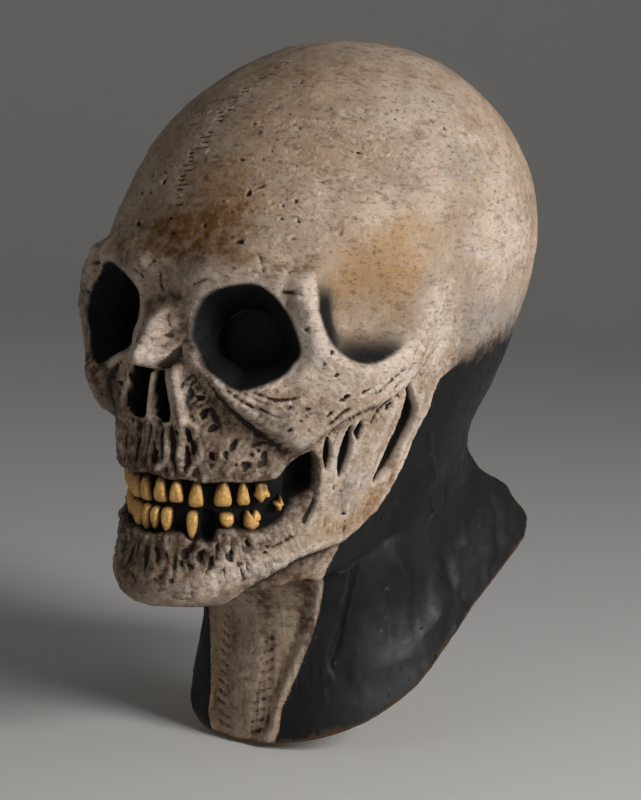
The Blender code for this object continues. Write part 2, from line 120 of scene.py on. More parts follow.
RING_COLUMNS = ("z_front", "z_side", "z_back", "half_width", "y_front", "y_back", "y_centre", "n_front", "n_back")
RINGS = {
    "crown":     (0, 0, 0, 0, 26, 26, 26, 2.0, 2.0),
    "vault_20":  (-6, -5, -6, 33, -12, 63, 25, 2.0, 2.0),
    "vault_40":  (-23, -21, -24, 60, -45, 94, 23, 2.0, 2.0),
    "vault_60":  (-47, -45, -51, 80, -73, 119, 20, 2.05, 2.0),
    "forehead":  (-77, -74, -83, 90, -93, 130, 16, 2.1, 2.0),
    "brow":      (-107, -103, -113, 91, -106, 127, 14, 2.3, 2.0),
    "orbit":     (-133, -129, -139, 88, -109, 116, 12, 2.55, 2.0),
    "cheek":     (-160, -157, -163, 81, -111, 103, 10, 2.4, 2.1),
    "nose":      (-183, -181, -181, 73, -112, 95, 8, 2.0, 2.1),
    "teeth":     (-210, -201, -189, 69, -112, 98, 10, 1.85, 2.1),
    "chin":      (-243, -217, -196, 64, -110, 107, 12, 1.75, 2.1),
    "jaw_edge":  (-261, -227, -202, 60, -107, 115, 14, 1.8, 2.2),
    "under_jaw": (-263, -238, -207, 57, -50, 122, 18, 1.9, 2.3),
    "throat":    (-277, -255, -212, 56, -34, 130, 24, 1.9, 2.4),
    "neck":      (-305, -277, -219, 60, -32, 142, 32, 1.85, 2.6),
    "hem":       (-338, -298, -231, 66, -34, 158, 36, 1.8, 2.8),
}

SOCKET: Line = (
    (7.6, 194), (7.8, 186), (9.6, 179), (14, 174.5), (20, 172), (23.5, 174), (27, 180), (29.8, 188),
    (32, 200), (30.8, 206), (29, 211), (25, 215.5), (19.9, 219), (15.9, 214.5), (11.3, 209), (9, 203),
)
TEMPLE: Line = (
    (35.5, 160), (34.7, 168), (36.4, 184), (40.6, 197.5), (47.5, 204.5), (54.9, 202), (61.7, 193),
    (67.9, 179), (73, 160), (69, 142), (57.5, 130), (46, 128), (38.5, 142),
)
CHEEKBONE: Line = (
    (11, 212), (14, 221), (18, 229), (24, 236.5), (29.5, 244.5), (33, 248.5), (36.3, 248), (40, 242),
    (45, 234.5), (50.5, 229.5), (58, 225), (66, 214), (74, 196), (80, 178), (76, 168), (69, 180),
    (62, 194), (55, 202.5), (47, 205), (40, 198), (36, 184), (34, 166), (29, 168), (30.5, 184),
    (33, 200), (30, 212), (20, 220), (15, 216),
)
NOSE_OPENING: Line = (
    (-2, 206.5), (1.5, 207), (3, 210.5), (4.8, 219), (6.2, 230), (6.6, 237), (5, 241), (1.6, 240), (-2, 239),
)
NOSTRIL: Line = (
    (0.8, 207), (1.6, 208.5), (2.2, 213), (3, 219), (4.2, 227), (5, 233), (4.9, 238), (3.4, 239.5),
    (1.8, 237), (1.1, 228), (0.8, 218),
)
FAR_NOSTRIL: Line = (
    (0.7, 206), (3.4, 207), (4.8, 211), (5.4, 219), (5.8, 228), (5.8, 235), (4.6, 239), (3, 239.5),
    (1.2, 236), (0.6, 228), (0.7, 218),
)
MOUTH: Line = (
    (-2, 264), (5.4, 264.2), (9, 263.6), (12.5, 264.6), (17, 263.8), (21.6, 263.8), (25.6, 263.2), (29, 261.8),
    (31, 259), (33.5, 254.5), (36, 251.3), (38.5, 250), (40.5, 254.5), (41.2, 262), (40.6, 268), (38, 271.5),
    (34.5, 274.5), (31.5, 279), (26.5, 283.2), (21.7, 283.6),
    (17.3, 283), (15.5, 284), (13.3, 286.8), (11.3, 287.6), (9.6, 287.2), (8, 285), (5.7, 285), (-2, 284.6),
)
SLOTS = {
    "tendon_slot": (6.0, (
        (64, 214), (67.5, 219), (71.5, 226), (74.8, 233), (75, 243), (72.6, 252), (68.6, 260), (64, 266.5),
        (61.8, 266), (64.6, 256), (67.6, 247), (68.6, 240), (68.2, 233), (66.8, 226), (65, 220),
    )),
    "cheek_slot":  (6.0, ((49.5, 238), (51.6, 243), (51.4, 252), (49.6, 260), (47.6, 262), (47, 253), (48, 245))),
    "front_slot":  (4.5, ((42.3, 243), (44.4, 248), (44.7, 254), (43.4, 259), (42, 253))),
    "small_slot":  (3.5, ((52.4, 236), (54.2, 239), (53.4, 246), (51.4, 242))),
}
JAW_LINE: Line = (
    (84, 215), (82, 235), (77, 255), (70, 271), (62.5, 284), (52, 291.5), (45, 292.5), (36, 294),
    (28, 299), (22, 304), (16, 312), (8, 322), (0, 326),
)
NECK_RIDGE: Line = (
    (49.5, 293), (46.6, 307), (44, 322), (42, 345), (37, 362), (28, 381), (20, 399), (16.5, 414),
)
RIDGES = {
    "brow":         (4.0, 7.0, 0.25, ((2, 171), (8, 168), (15, 165), (22, 165), (28, 170), (32, 178))),
    "socket_side":  (2.5, 7.0, 0.25, ((30, 172), (33.5, 184), (35.5, 196), (36.5, 208))),
}
CHEEK_RIDGES = {
    "cheek_body":   (2.5, 8.0, 0.25, ((27, 222), (33, 238), (35, 246))),
    "cheek_hollow": (-2.5, 6.0, 0.3, ((10, 222), (15, 235), (22, 245), (30, 252), (35, 254))),
    "nose_flank":   (4.5, 3.6, 0.25, ((4.2, 209), (5.8, 221), (7.4, 234), (8.4, 246))),
}
JAW_RIDGES = {
    "jaw_body":     (2.0, 7.0, 0.25, ((0, 302), (8, 301), (16, 297), (24, 293), (34, 289), (44, 285), (54, 280), (63, 272))),
    "chin":         (3.0, 8.0, 0.0, ((0, 307), (8, 305), (14, 302))),
    "jaw_border":   (2.0, 4.0, 0.25, JAW_LINE[1:9]),
    "wide_tendon":  (2.5, 6.0, 0.25, ((64.5, 214), (63, 228), (61.4, 241), (58.5, 253), (54.6, 266))),
    "thin_tendon":  (2.0, 3.0, 0.25, ((73.1, 218), (75.2, 232), (74.5, 247), (70, 260), (64.5, 270))),
}


@dataclass(frozen=True)
class Groove:
    """A crack or furrow along an open line, or a ridge where the depth is negative."""

    depth: float
    width: float
    points: tuple[tuple[float, float], ...]
    fade: float = 0.25


@dataclass(frozen=True)
class Pit:
    """A small hollow: place, half sizes across and down, depth and turn in degrees."""

    angle: float
    down: float
    across: float
    tall: float
    depth: float
    turn: float = 0.0


# Cracks, furrows and small ridges on the wearer's left, whose likes are on the right
FACE_GROOVES = (
    Groove(1.8, 0.9, ((6.5, 174.5), (8.5, 172.5), (10.5, 170.5))),
    Groove(1.2, 0.8, ((20, 156), (21.5, 160.5), (22.5, 165.5), (23.5, 169))),
    Groove(1.1, 0.8, ((26.5, 161), (27.5, 164.5), (28.5, 167))),
    Groove(1.3, 0.8, ((27, 175.5), (27.5, 174), (29.5, 174.5), (31.5, 176.5), (33.5, 179))),
    Groove(1.2, 0.9, ((32.5, 172.5), (33, 176.5), (34, 181.5), (35, 185.5))),
    Groove(1.0, 0.7, ((33.5, 176), (34.5, 180), (36, 184))),
    Groove(1.4, 0.8, ((22, 219.5), (24, 220.5), (25.5, 221), (28, 222.5), (30, 222), (33, 220.5))),
    Groove(2.6, 1.8, ((7, 199), (8.5, 203), (10, 206.5), (12, 212.5), (14.5, 219.5), (17, 226.5), (20.5, 234), (24.5, 241.5), (29, 247)), 0.15),
    Groove(1.3, 0.9, ((16.5, 217.5), (18.5, 221.5), (20.5, 223.5), (23, 226.5), (25, 229))),
    Groove(0.9, 0.7, ((18, 216), (20, 219.5), (23, 222), (26, 224.5))),
    Groove(0.9, 0.8, ((21, 231), (24, 235), (27.5, 238.5))),
    Groove(0.8, 0.7, ((24, 226), (27, 229), (30, 230.5))),
    Groove(-1.2, 1.6, ((8.5, 246), (8, 233), (6.4, 219), (4.6, 209))),
    Groove(2.6, 1.2, ((4.5, 240), (5.5, 244.5), (6, 249), (6, 254), (6, 258.5))),
    Groove(2.2, 0.9, ((1, 238), (3, 242), (3, 246), (2.5, 249))),
    Groove(-1.8, 1.2, ((3.6, 241), (4.2, 246), (4.5, 251), (4.2, 257), (2.5, 261), (0.4, 261.8))),
    Groove(-1.8, 1.2, ((7.2, 246.5), (7, 251), (7, 255.5), (7.8, 259.5), (8.8, 261.5), (10, 259.5), (11, 254.5), (11, 249.5))),
    Groove(3.2, 1.0, ((8.8, 241), (9.5, 245.5), (10.2, 248), (10.6, 250.5), (10.6, 254))),
    Groove(-1.0, 2.4, ((12.4, 243), (12.4, 250), (12.4, 259))),
    Groove(-1.2, 1.6, ((8.5, 237), (10, 239.5), (11, 238.5))),
    Groove(1.6, 0.9, ((19, 247), (18.5, 251.5))),
    Groove(2.0, 0.9, ((20, 245), (19, 251))),
    Groove(1.0, 0.8, ((23, 250), (24.5, 248), (26.5, 247), (28, 247.5))),
    Groove(1.4, 1.3, ((13.5, 229), (15, 236), (16.5, 243))),
    Groove(1.6, 1.0, ((2, 289.5), (3, 291.5), (3, 296))),
    Groove(1.8, 1.0, ((4.5, 290), (5.5, 294), (5, 298))),
    Groove(1.5, 1.0, ((0, 289.5), (0.5, 293), (0.2, 297))),
    Groove(1.4, 1.0, ((6.6, 290), (7, 293), (6.8, 297))),
    Groove(3.6, 1.6, ((11.4, 286), (10, 289.5), (8, 293.5))),
    Groove(-1.0, 1.2, ((12.2, 288.5), (11.2, 291), (9.6, 295))),
    Groove(1.2, 0.9, ((22, 284.5), (22.2, 288.5))),
    Groove(0.9, 0.8, ((4.5, 298.5), (2.5, 300.5), (1, 302))),
    Groove(0.8, 0.7, ((6, 303), (8, 305.5), (11, 305))),
    Groove(0.9, 0.8, ((24, 287), (27, 289), (31, 287.5), (35, 285))),
    Groove(2.2, 4.5, ((37.5, 270), (34.5, 276), (31.5, 282))),
    Groove(3.2, 1.4, ((40.6, 265), (40.2, 271), (38.6, 277), (35.8, 283))),
    Groove(-1.2, 1.6, ((44, 290), (36, 292), (30, 295.5), (24, 300))),
    Groove(2.2, 2.0, ((40.5, 237), (42.5, 233), (44.5, 229), (46.8, 226))),
    Groove(1.0, 0.8, ((60.5, 222), (62.5, 223.5), (64.5, 226))),
    Groove(0.7, 0.9, ((50, 222), (54, 218), (58, 212), (62, 206))),
    Groove(0.7, 0.8, ((53, 226), (57, 220), (61, 212))),
    Groove(0.8, 0.9, ((56, 240), (57, 232), (59.5, 224))),
    Groove(0.6, 0.8, ((66, 208), (70, 202), (74, 194))),
    Groove(0.7, 0.8, ((0.5, 205), (2, 203.5), (4, 203))),
    Groove(0.9, 0.8, ((1, 206.5), (2.5, 206.7), (4, 207.2))),
    Groove(0.7, 0.7, ((0.5, 195.5), (2, 196.5))),
    Groove(0.7, 0.7, ((3, 197.5), (4.4, 198.7))),
    Groove(0.8, 0.7, ((2, 186), (2.6, 191), (4, 195))),
    Groove(0.35, 0.7, ((72.5, 140.5), (76.5, 146))),
    Groove(0.35, 0.7, ((70.5, 148), (73.5, 152))),
    Groove(0.9, 0.7, ((30.8, 123.2), (32.5, 122.3), (34.2, 121))),
    Groove(0.8, 0.7, ((8, 83.5), (10, 83), (11.5, 81.5))),
    Groove(0.8, 0.7, ((18.6, 93.8), (20, 93), (22.5, 95.5))),
)
# Marks between the brows and at the roots of the teeth, on the wearer's right only
RIGHT_GROOVES = (
    Groove(1.3, 0.9, ((9, 168.5), (8, 170.5), (6.8, 172.5))),
    Groove(1.1, 0.8, ((6, 169.5), (5.5, 167.5), (4.5, 165.5))),
    Groove(1.1, 0.8, ((3.5, 168), (2.5, 171.5), (2.5, 175), (1.5, 179))),
    Groove(2.6, 1.2, ((4, 241), (3.5, 245.5), (3.5, 249.5), (4, 253.5), (4.4, 257.5), (5, 261.5))),
    Groove(-1.5, 1.3, ((5.6, 244), (5.6, 249.5), (6.2, 254.5), (6.5, 259))),
    Groove(2.4, 1.2, ((8.5, 244), (9.5, 251.5), (9.5, 257.5))),
    Groove(-1.2, 1.3, ((11, 246), (11.6, 252), (11.6, 259))),
    Groove(2.2, 1.2, ((13, 248), (14, 255), (13, 260))),
)
FACE_PITS = (
    Pit(11.5, 226, 2.2, 1.5, 2.2), Pit(12.5, 234, 1.5, 3.0, 2.4, 15), Pit(14.5, 241, 2.2, 1.7, 2.2, -30),
    Pit(14.5, 253, 1.2, 2.0, 2.2, -15), Pit(14.5, 257.5, 1.6, 1.6, 1.0), Pit(17.5, 252, 1.2, 1.8, 2.0),
    Pit(6.6, 244, 1.1, 1.2, 2.2), Pit(1.2, 254.5, 1.9, 4.6, 2.8, -8), Pit(9.3, 254.5, 1.2, 4.2, 2.2, -6),
    Pit(7.5, 221, 1.0, 2.0, 0.8), Pit(9.5, 224, 1.2, 2.6, 1.0, -10), Pit(22, 257, 2.3, 2.4, 1.8), Pit(26, 255, 2.4, 3.8, 2.0, 20),
    Pit(25, 250.6, 0.9, 0.9, 1.2), Pit(23.5, 252.2, 1.0, 0.8, 1.2), Pit(25, 259.3, 1.0, 0.8, 1.0), Pit(19.8, 256.5, 0.8, 1.0, 1.0),
    Pit(12, 291.5, 1.5, 2.4, 2.6, 25), Pit(14, 294, 1.0, 3.0, 2.4, 25), Pit(18, 291.5, 1.7, 2.0, 2.2, 20), Pit(10, 295, 1.2, 1.2, 2.0),
    Pit(15.5, 288.5, 1.0, 1.8, 1.2, 15), Pit(22, 288, 0.9, 1.6, 1.2), Pit(10.5, 303, 1.4, 1.2, 0.9), Pit(6.5, 299.5, 1.2, 1.0, 1.0),
    Pit(8.2, 294.5, 0.8, 1.0, 1.4), Pit(20, 294.5, 0.9, 0.8, 0.8), Pit(26, 291, 1.2, 0.6, 1.2),
    Pit(44, 220.5, 1.4, 1.4, 2.4), Pit(43.2, 222, 1.8, 1.2, 1.6), Pit(49, 218.3, 2.2, 0.9, 1.2, -25), Pit(40.5, 229, 1.0, 1.9, 1.2, 30),
    Pit(46, 266.5, 0.7, 1.9, 1.0), Pit(50, 279.5, 1.4, 0.8, 1.2), Pit(50.5, 283, 0.9, 0.7, 0.8), Pit(60, 228.5, 1.2, 2.2, 1.2, 25),
    Pit(33, 190, 1.2, 1.3, 1.8), Pit(34, 188.5, 1.6, 1.8, 0.6), Pit(38.9, 200, 1.3, 1.2, 1.5), Pit(40.7, 210, 1.2, 1.0, 1.5, -30),
    Pit(37.5, 205, 0.8, 1.2, 0.8), Pit(30.5, 225, 1.8, 1.2, 0.8), Pit(35, 226, 1.4, 1.0, 0.8), Pit(33.5, 231.5, 1.0, 1.0, 0.7),
    Pit(31, 236, 1.3, 1.6, 0.9), Pit(35.5, 236.5, 0.9, 0.9, 0.6), Pit(28, 232, 1.0, 0.7, 0.6), Pit(26.5, 218, 1.6, 0.7, 0.7),
    Pit(14, 130, 1.1, 1.7, 2.0, 10), Pit(16.5, 126.5, 2.6, 1.0, 1.1, -25), Pit(8.5, 114, 1.9, 0.8, 0.9, 15), Pit(6.5, 94.5, 1.5, 0.8, 0.9, 20),
    Pit(17.8, 94.8, 1.2, 0.8, 0.5), Pit(26.5, 132, 0.9, 1.1, 1.2), Pit(28, 141, 0.7, 1.4, 1.3, -20), Pit(24, 140.5, 0.8, 0.8, 1.0),
    Pit(23.5, 134.5, 0.7, 1.3, 0.9), Pit(15.5, 152.5, 1.8, 1.1, 1.8, -15), Pit(13, 151, 0.8, 0.9, 0.9), Pit(20.5, 138, 1.3, 1.1, 0.6),
    Pit(5.5, 146.5, 1.0, 1.0, 1.2), Pit(27.5, 149.5, 1.3, 0.9, 1.1), Pit(49.5, 129.5, 2.1, 1.3, 1.9, 10), Pit(52, 131.5, 1.3, 1.2, 1.6),
    Pit(38.5, 146.3, 1.0, 1.5, 1.8, 15), Pit(38.8, 143.6, 0.7, 1.0, 1.0, 20), Pit(41.5, 139.5, 0.7, 0.7, 1.0), Pit(44, 145, 0.7, 1.0, 0.7),
    Pit(40.5, 106.5, 1.5, 0.8, 1.5, 10), Pit(34, 93.5, 1.0, 0.6, 0.8, -20), Pit(57, 114, 0.8, 0.7, 0.7), Pit(53, 86.5, 1.2, 0.7, 0.8, 20),
    Pit(54.5, 80.5, 1.6, 0.8, 0.9, 10), Pit(73, 74.5, 0.8, 1.3, 1.3, -10), Pit(70.5, 79.5, 0.9, 0.8, 1.0), Pit(68.5, 87, 1.1, 2.1, 1.1, -10),
    Pit(65.5, 80.5, 1.0, 0.8, 0.7), Pit(73.5, 91.5, 1.0, 1.5, 1.1, 15), Pit(77, 91, 0.6, 1.2, 0.8, 10), Pit(72, 96, 1.0, 0.9, 1.0),
    Pit(74, 102, 0.5, 0.6, 0.6), Pit(73, 109, 1.2, 0.7, 0.8, 40), Pit(68, 290, -1.4, 1.6, -0.6), Pit(76, 297, 1.0, 1.6, -0.7, 20),
)
RIGHT_PITS = (Pit(21, 128, 1.2, 1.6, 1.1), Pit(17, 136, 0.9, 1.4, 1.3, 15), Pit(14, 122.5, 0.8, 0.8, 0.8), Pit(2.5, 152, 1.2, 1.0, 1.0))
# Stitch marks of the suture over the brow: angle, distance down and length in millimetres
SUTURE = (
    (-6, 50, 4), (-8, 55, 5), (-7, 60, 5), (-9.5, 64, 6), (-9, 68, 7), (-10.5, 72.5, 6), (-8.5, 75, 8), (-10.5, 79.5, 7), (-9, 82, 6),
    (-8.5, 85, 5), (-7.5, 87.5, 4), (-10, 90, 5), (-8.5, 92, 5), (-7.5, 94.5, 7), (-18.5, 99.5, 8), (-7.5, 102, 6), (-8, 105, 10),
    (-6.5, 107.5, 6), (-7, 111, 14), (-9.5, 114, 4), (-8.5, 116, 5), (-8, 118, 5), (-8, 120, 9), (-7, 122.5, 8), (-8, 125.5, 5),
    (-7.5, 127.5, 5), (-6.5, 129.7, 7), (-6.5, 132, 5), (-6, 136, 5), (-4.5, 139, 6),
)
EMPTY_SOCKET = ((12.2, 277), (15.2, 277), (15.4, 285), (13.8, 287.5), (12.2, 286))


# Stitched ribs down the bone strip under the chin: first and last point of each
STRIP_RIBS = (
    (-18, 367, -11, 369), (-18, 371, -10, 373), (-18, 375, -10, 377), (-18.5, 379, -9.5, 381), (-18.5, 383, -9, 385),
    (-18, 387, -8.5, 389), (-17.5, 391, -8, 393), (-17, 395, -7, 397), (-16.5, 399, -6, 401), (-16, 403, -5, 405),
    (-14, 407, -3, 409), (-12, 411, -1, 412.5),
    (9, 376, 17, 372), (8.5, 380.5, 17, 376.5), (8, 385, 17, 381), (7.5, 389, 17, 385), (7, 393, 16.5, 389), (6.5, 397, 16, 393),
    (6, 401, 15, 397), (6, 405, 14.5, 401.5), (5.5, 409, 14, 406), (5.5, 413, 13.5, 410.5),
)
# Creases and soft folds of the black neck, ridges where the depth is negative
NECK_FOLDS = (
    Groove(1.8, 2.2, ((66, 325), (58, 348), (48.5, 373), (42.5, 384), (47, 390))),
    Groove(-1.6, 3.0, ((57, 335), (53, 352), (47, 362))),
    Groove(-1.0, 1.6, ((50, 328), (55, 331), (62, 331))),
    Groove(-1.3, 2.6, ((104, 288), (110, 318), (113, 336), (106, 346), (105, 354))),
    Groove(1.0, 1.6, ((118, 300), (122, 330), (120, 352))),
    Groove(-1.6, 6.0, ((62, 392), (78, 396), (96, 394), (112, 396))),
    Groove(-1.4, 5.0, ((124, 372), (130, 392), (136, 404))),
    Groove(1.5, 3.0, ((132, 410), (139, 398), (147, 384), (152, 360))),
    Groove(1.3, 3.5, ((116, 408), (112, 392), (116, 372))),
    Groove(-1.4, 5.0, ((80, 345), (88, 360), (86, 376))),
    Groove(1.2, 4.0, ((70, 350), (75, 372), (70, 388))),
    Groove(-1.8, 8.0, ((150, 340), (158, 375), (166, 405))),
    Groove(1.6, 4.0, ((168, 330), (172, 360), (178, 400))),
    Groove(-1.0, 2.0, ((90, 240), (96, 262), (100, 280))),
)


class Grain(Enum):
    """What small relief looks like."""

    SOFT = "soft lumps"
    CRACKED = "lumps with sharp cracks between them"


@dataclass(frozen=True)
class Relief:
    """Small relief worked into the latex over one region, sizes in millimetres."""

    height: float
    across: float
    tall: float
    angles: tuple[float, float]
    downs: tuple[float, float]
    soft: float
    grain: Grain = Grain.SOFT
    lean: float = 0.0


RELIEFS = (
    Relief(0.45, 17, 17, (-1, 181), (-9, 330), 9),
    Relief(0.16, 3.0, 3.0, (-1, 181), (24, 235), 12),
    Relief(0.36, 6.5, 8.0, (-1, 86), (158, 306), 14),
    Relief(0.34, 2.6, 4.2, (12, 64), (84, 158), 14, Grain.CRACKED, 0.7),
    Relief(0.14, 2.4, 2.4, (-1, 34), (60, 150), 16, Grain.CRACKED),
    Relief(0.22, 2.2, 3.6, (-1, 40), (152, 176), 7, Grain.CRACKED, -0.4),
    Relief(1.9, 3.0, 13, (-1, 13), (239, 266), 4, Grain.CRACKED),
    Relief(0.9, 3.2, 8.0, (8, 33), (214, 266), 5, Grain.CRACKED, 0.5),
    Relief(1.4, 3.0, 11, (-1, 22), (282, 300), 4, Grain.CRACKED),
    Relief(0.9, 3.2, 5.0, (9, 36), (281, 301), 7, Grain.CRACKED, -0.5),
    Relief(0.35, 2.4, 3.0, (-1, 40), (300, 316), 5, Grain.CRACKED),
    Relief(0.42, 2.2, 9.0, (33, 88), (196, 246), 8, Grain.CRACKED, -1.1),
    Relief(0.35, 2.4, 9.0, (26, 42), (168, 225), 7, Grain.CRACKED, 0.3),
    Relief(0.4, 2.6, 13, (40, 84), (238, 290), 8, Grain.CRACKED, 0.35),
    Relief(0.35, 3.2, 26, (-1, 44), (318, 420), 8, Grain.CRACKED),
    Relief(1.3, 17, 42, (46, 181), (262, 425), 20),
    Relief(0.16, 3.0, 20, (46, 181), (215, 425), 12),
)


class Paint(Enum):
    """Stains brushed over the bone colour; the brown ones also lay painted shade, the pale ones painted highlights and
    the sheen ones a painted sheen on the black neck.
    """

    RUST = "rust"
    OCHRE = "ochre"
    UMBER_AND_SHADE = "umber_and_shade"
    GREY = "grey"
    PAINTED_HIGHLIGHT = "light"
    PAINTED_SHEEN = "painted_sheen"


# Each stain: angle, distance down, half size across, half size down, strength
STAINS = {
    Paint.RUST: (
        (3.5, 150, 20, 11, 1.0), (-7, 152, 11, 10, 0.8), (9, 141, 12, 9, 0.75), (-2, 160, 14, 5, 0.7), (12, 152, 10, 8, 0.5),
        (4, 128, 16, 9, 0.35), (24, 166, 8, 4, 0.4), (17, 162, 7, 4, 0.4), (52, 290, 9, 3, 0.5), (64, 277, 6, 6, 0.5), (40, 257, 3, 8, 0.8),
        (20, 303, 12, 2.5, 0.5), (42, 293, 8, 2.5, 0.6), (7, 236, 3, 7, 0.6), (28, 219, 7, 2.5, 0.4), (0, 214, 2, 3, 0.8), (-5.5, 236, 3, 6, 0.9),
        (14, 316, 14, 3, 0.5), (34, 360, 8, 40, 0.4), (16, 330, 26, 14, 0.6), (60, 284, 8, 5, 0.5), (70, 262, 3, 14, 0.6),
        (-10, 244, 7, 16, 0.4), (-24, 222, 12, 10, 0.35), (30, 222, 10, 5, 0.3), (26, 238, 8, 8, 0.25),
    ),
    Paint.OCHRE: (
        (52, 159, 22, 20, 0.9), (43.5, 168, 10, 16, 0.6), (2.5, 123, 22, 12, 0.5), (9.5, 98, 26, 15, 0.35), (11.5, 136, 20, 10, 0.8),
        (27.5, 220, 9, 5, 0.6), (24, 213, 7, 3, 0.5), (13, 239, 7, 10, 0.6), (0, 236, 5, 8, 0.7), (46.5, 284, 12, 5, 0.8), (64.5, 276, 8, 9, 0.9),
        (70, 262, 5, 16, 0.6), (40, 257, 4, 12, 0.9), (18, 307, 16, 4, 0.5), (31, 177, 4, 8, 0.4), (17, 162, 12, 5, 0.5), (22, 112, 26, 12, 0.25),
        (36, 104, 20, 14, 0.2), (16, 66, 26, 16, 0.35), (60, 282, 12, 12, 0.6), (56.5, 145, 12, 8, 0.5), (60, 170, 10, 14, 0.6), (20, 395, 12, 20, 0.5), (66, 240, 5, 22, 0.4),
        (120, 90, 40, 26, 0.35), (150, 140, 30, 30, 0.3), (12, 292, 12, 6, 0.5), (58, 232, 8, 6, 0.4), (8, 381, 10, 20, 0.4),
    ),
    # Brown stains, and painted shade under the cheekbone tips and over the far side of the face
    Paint.UMBER_AND_SHADE: (
        (-1, 184, 9, 3.5, 0.5), (6, 190, 3.5, 9, 0.9), (8, 204, 3, 9, 0.8), (11.5, 214, 4, 8, 0.7), (-4.5, 186, 6, 6, 0.5),
        (34, 224, 16, 14, 0.3), (38, 272, 6, 8, 0.9), (-18, 232, 9, 16, 0.7), (-7, 247, 8, 12, 0.6), (16, 224, 6, 8, 0.5),
        (0, 291, 18, 5, 0.9), (9, 291, 10, 5, 0.7), (13, 244, 8, 14, 0.35), (17, 231, 7, 7, 0.6), (25.5, 245, 8, 5, 0.8), (21, 239, 8, 5, 0.7),
        (30, 250, 7, 4, 0.6), (30, 262, 8, 6, 0.7), (35, 302, 26, 6, 0.8), (12, 322, 22, 7, 0.8), (28, 312, 16, 8, 0.6), (-8, 381, 8, 26, 0.5),
        (13, 356, 7, 20, 0.6), (38, 335, 5, 20, 0.5), (-28, 206, 10, 14, 0.7), (27, 166, 10, 4, 0.3), (0, 300, 16, 4, 0.3), (48, 296, 14, 3, 0.6),
        (8, 163, 16, 5, 0.3), (-10, 166, 10, 6, 0.4), (-15.5, 170, 8, 8, 0.5), (14, 252, 10, 10, 0.45), (24, 256, 9, 7, 0.5), (0, 251, 14, 11, 0.6),
        (10, 236, 36, 44, 0.22), (-33, 190, 5, 16, 0.8), (-22, 220, 14, 14, 0.35), (33, 254, 8, 5, 0.8), (-6, 290, 20, 14, 0.4),
        (20, 290, 24, 4, 0.35), (12, 335, 34, 24, 0.8), (30, 310, 26, 8, 0.5), (-16, 245, 10, 22, 0.4), (2, 198, 10, 12, 0.4),
        (34, 360, 8, 44, 0.8), (-8, 304, 12, 12, 0.4), (10, 395, 26, 26, 0.3), (4, 303, 16, 8, 0.3), (14, 326, 34, 14, 0.6),
    ),
    Paint.GREY: (
        (31, 233, 7, 8, 0.6), (52, 273, 10, 10, 0.7), (66, 172, 10, 12, 0.5), (83.5, 170, 18, 20, 0.2), (38.5, 195, 7, 12, 0.7), (22.5, 229, 6, 5, 0.6),
        (73, 110, 20, 16, 0.4), (96, 130, 26, 26, 0.2), (45.5, 209, 12, 6, 0.3), (74, 227, 8, 12, 0.5), (71.5, 73, 16, 12, 0.5), (54.5, 123, 10, 8, 0.4),
        (84, 152, 16, 12, 0.2), (81, 113, 14, 12, 0.3), (55.5, 78, 16, 10, 0.4), (32, 186, 5, 12, 0.5), (50, 252, 8, 10, 0.6),
        (92, 190, 26, 14, 0.8), (120, 188, 40, 12, 0.8), (160, 182, 50, 12, 0.8), (60, 262, 6, 12, 0.4), (26, 205, 5, 8, 0.3), (2, 170, 10, 5, 0.5),
        (12, 296, 10, 4, 0.3), (22, 298, 10, 4, 0.4), (130, 60, 30, 18, 0.4), (9, 215, 4, 10, 0.5),
    ),
    # Pale paint laid as painted highlights on the cheekbones, orbit rims, arches, jaw border and nose, and over the
    # sides of the skull
    Paint.PAINTED_HIGHLIGHT: (
        (38, 214, 8, 6, 0.5), (33, 241, 5, 6, 0.7), (31.5, 190, 4, 12, 0.8), (55, 211, 12, 7, 0.8), (70, 178, 12, 9, 0.5), (22.5, 297, 12, 4, 0.9),
        (13, 304, 13, 5, 0.8), (1.5, 207, 5, 4, 0.6), (45, 217, 8, 7, 0.5), (60.5, 204, 12, 7, 0.7), (24, 169, 9, 3, 0.7), (55, 262, 8, 14, 0.5),
        (2, 312, 16, 5, 0.4), (30, 294, 9, 3, 0.8), (9, 222, 3, 12, 0.6), (12, 250, 3, 10, 0.4), (62, 232, 4, 18, 0.5), (76, 205, 7, 14, 0.8),
        (72, 190, 10, 16, 0.6), (-10, 100, 16, 20, 0.3), (24, 300, 14, 4, 0.5),
        (95, 150, 30, 24, 0.4), (88, 100, 24, 22, 0.3), (48, 84, 22, 14, 0.25), (80, 60, 26, 16, 0.15), (12, 170, 8, 2.5, 0.3), (34, 176, 5, 4, 0.4),
        (1, 206, 4, 5, 0.3), (24, 214, 8, 2, 0.5), (110, 150, 30, 30, 0.3),
    ),
    # Painted sheen: grey patches on the black neck where a soft highlight falls
    Paint.PAINTED_SHEEN: (
        (80, 400, 22, 12, 0.8), (70, 380, 20, 14, 0.5), (50, 352, 8, 12, 0.25), (104, 350, 16, 26, 0.2), (60, 405, 20, 10, 0.4),
        (130, 385, 26, 20, 0.2),
    ),
}


class Side(Enum):
    """Which side of the face a mark is on."""

    BOTH = 0
    LEFT = 1
    RIGHT = -1


class Crown(Enum):
    """How a tooth's biting edge is shaped."""

    WHOLE = "whole"
    BROKEN = "broken"
    NOTCHED = "notched"
    STUMP = "stump"


def ease(t: np.ndarray | float) -> np.ndarray | float:
    """A soft step from 0 to 1."""
    t = np.clip(t, 0.0, 1.0)
    return t * t * (3.0 - 2.0 * t)


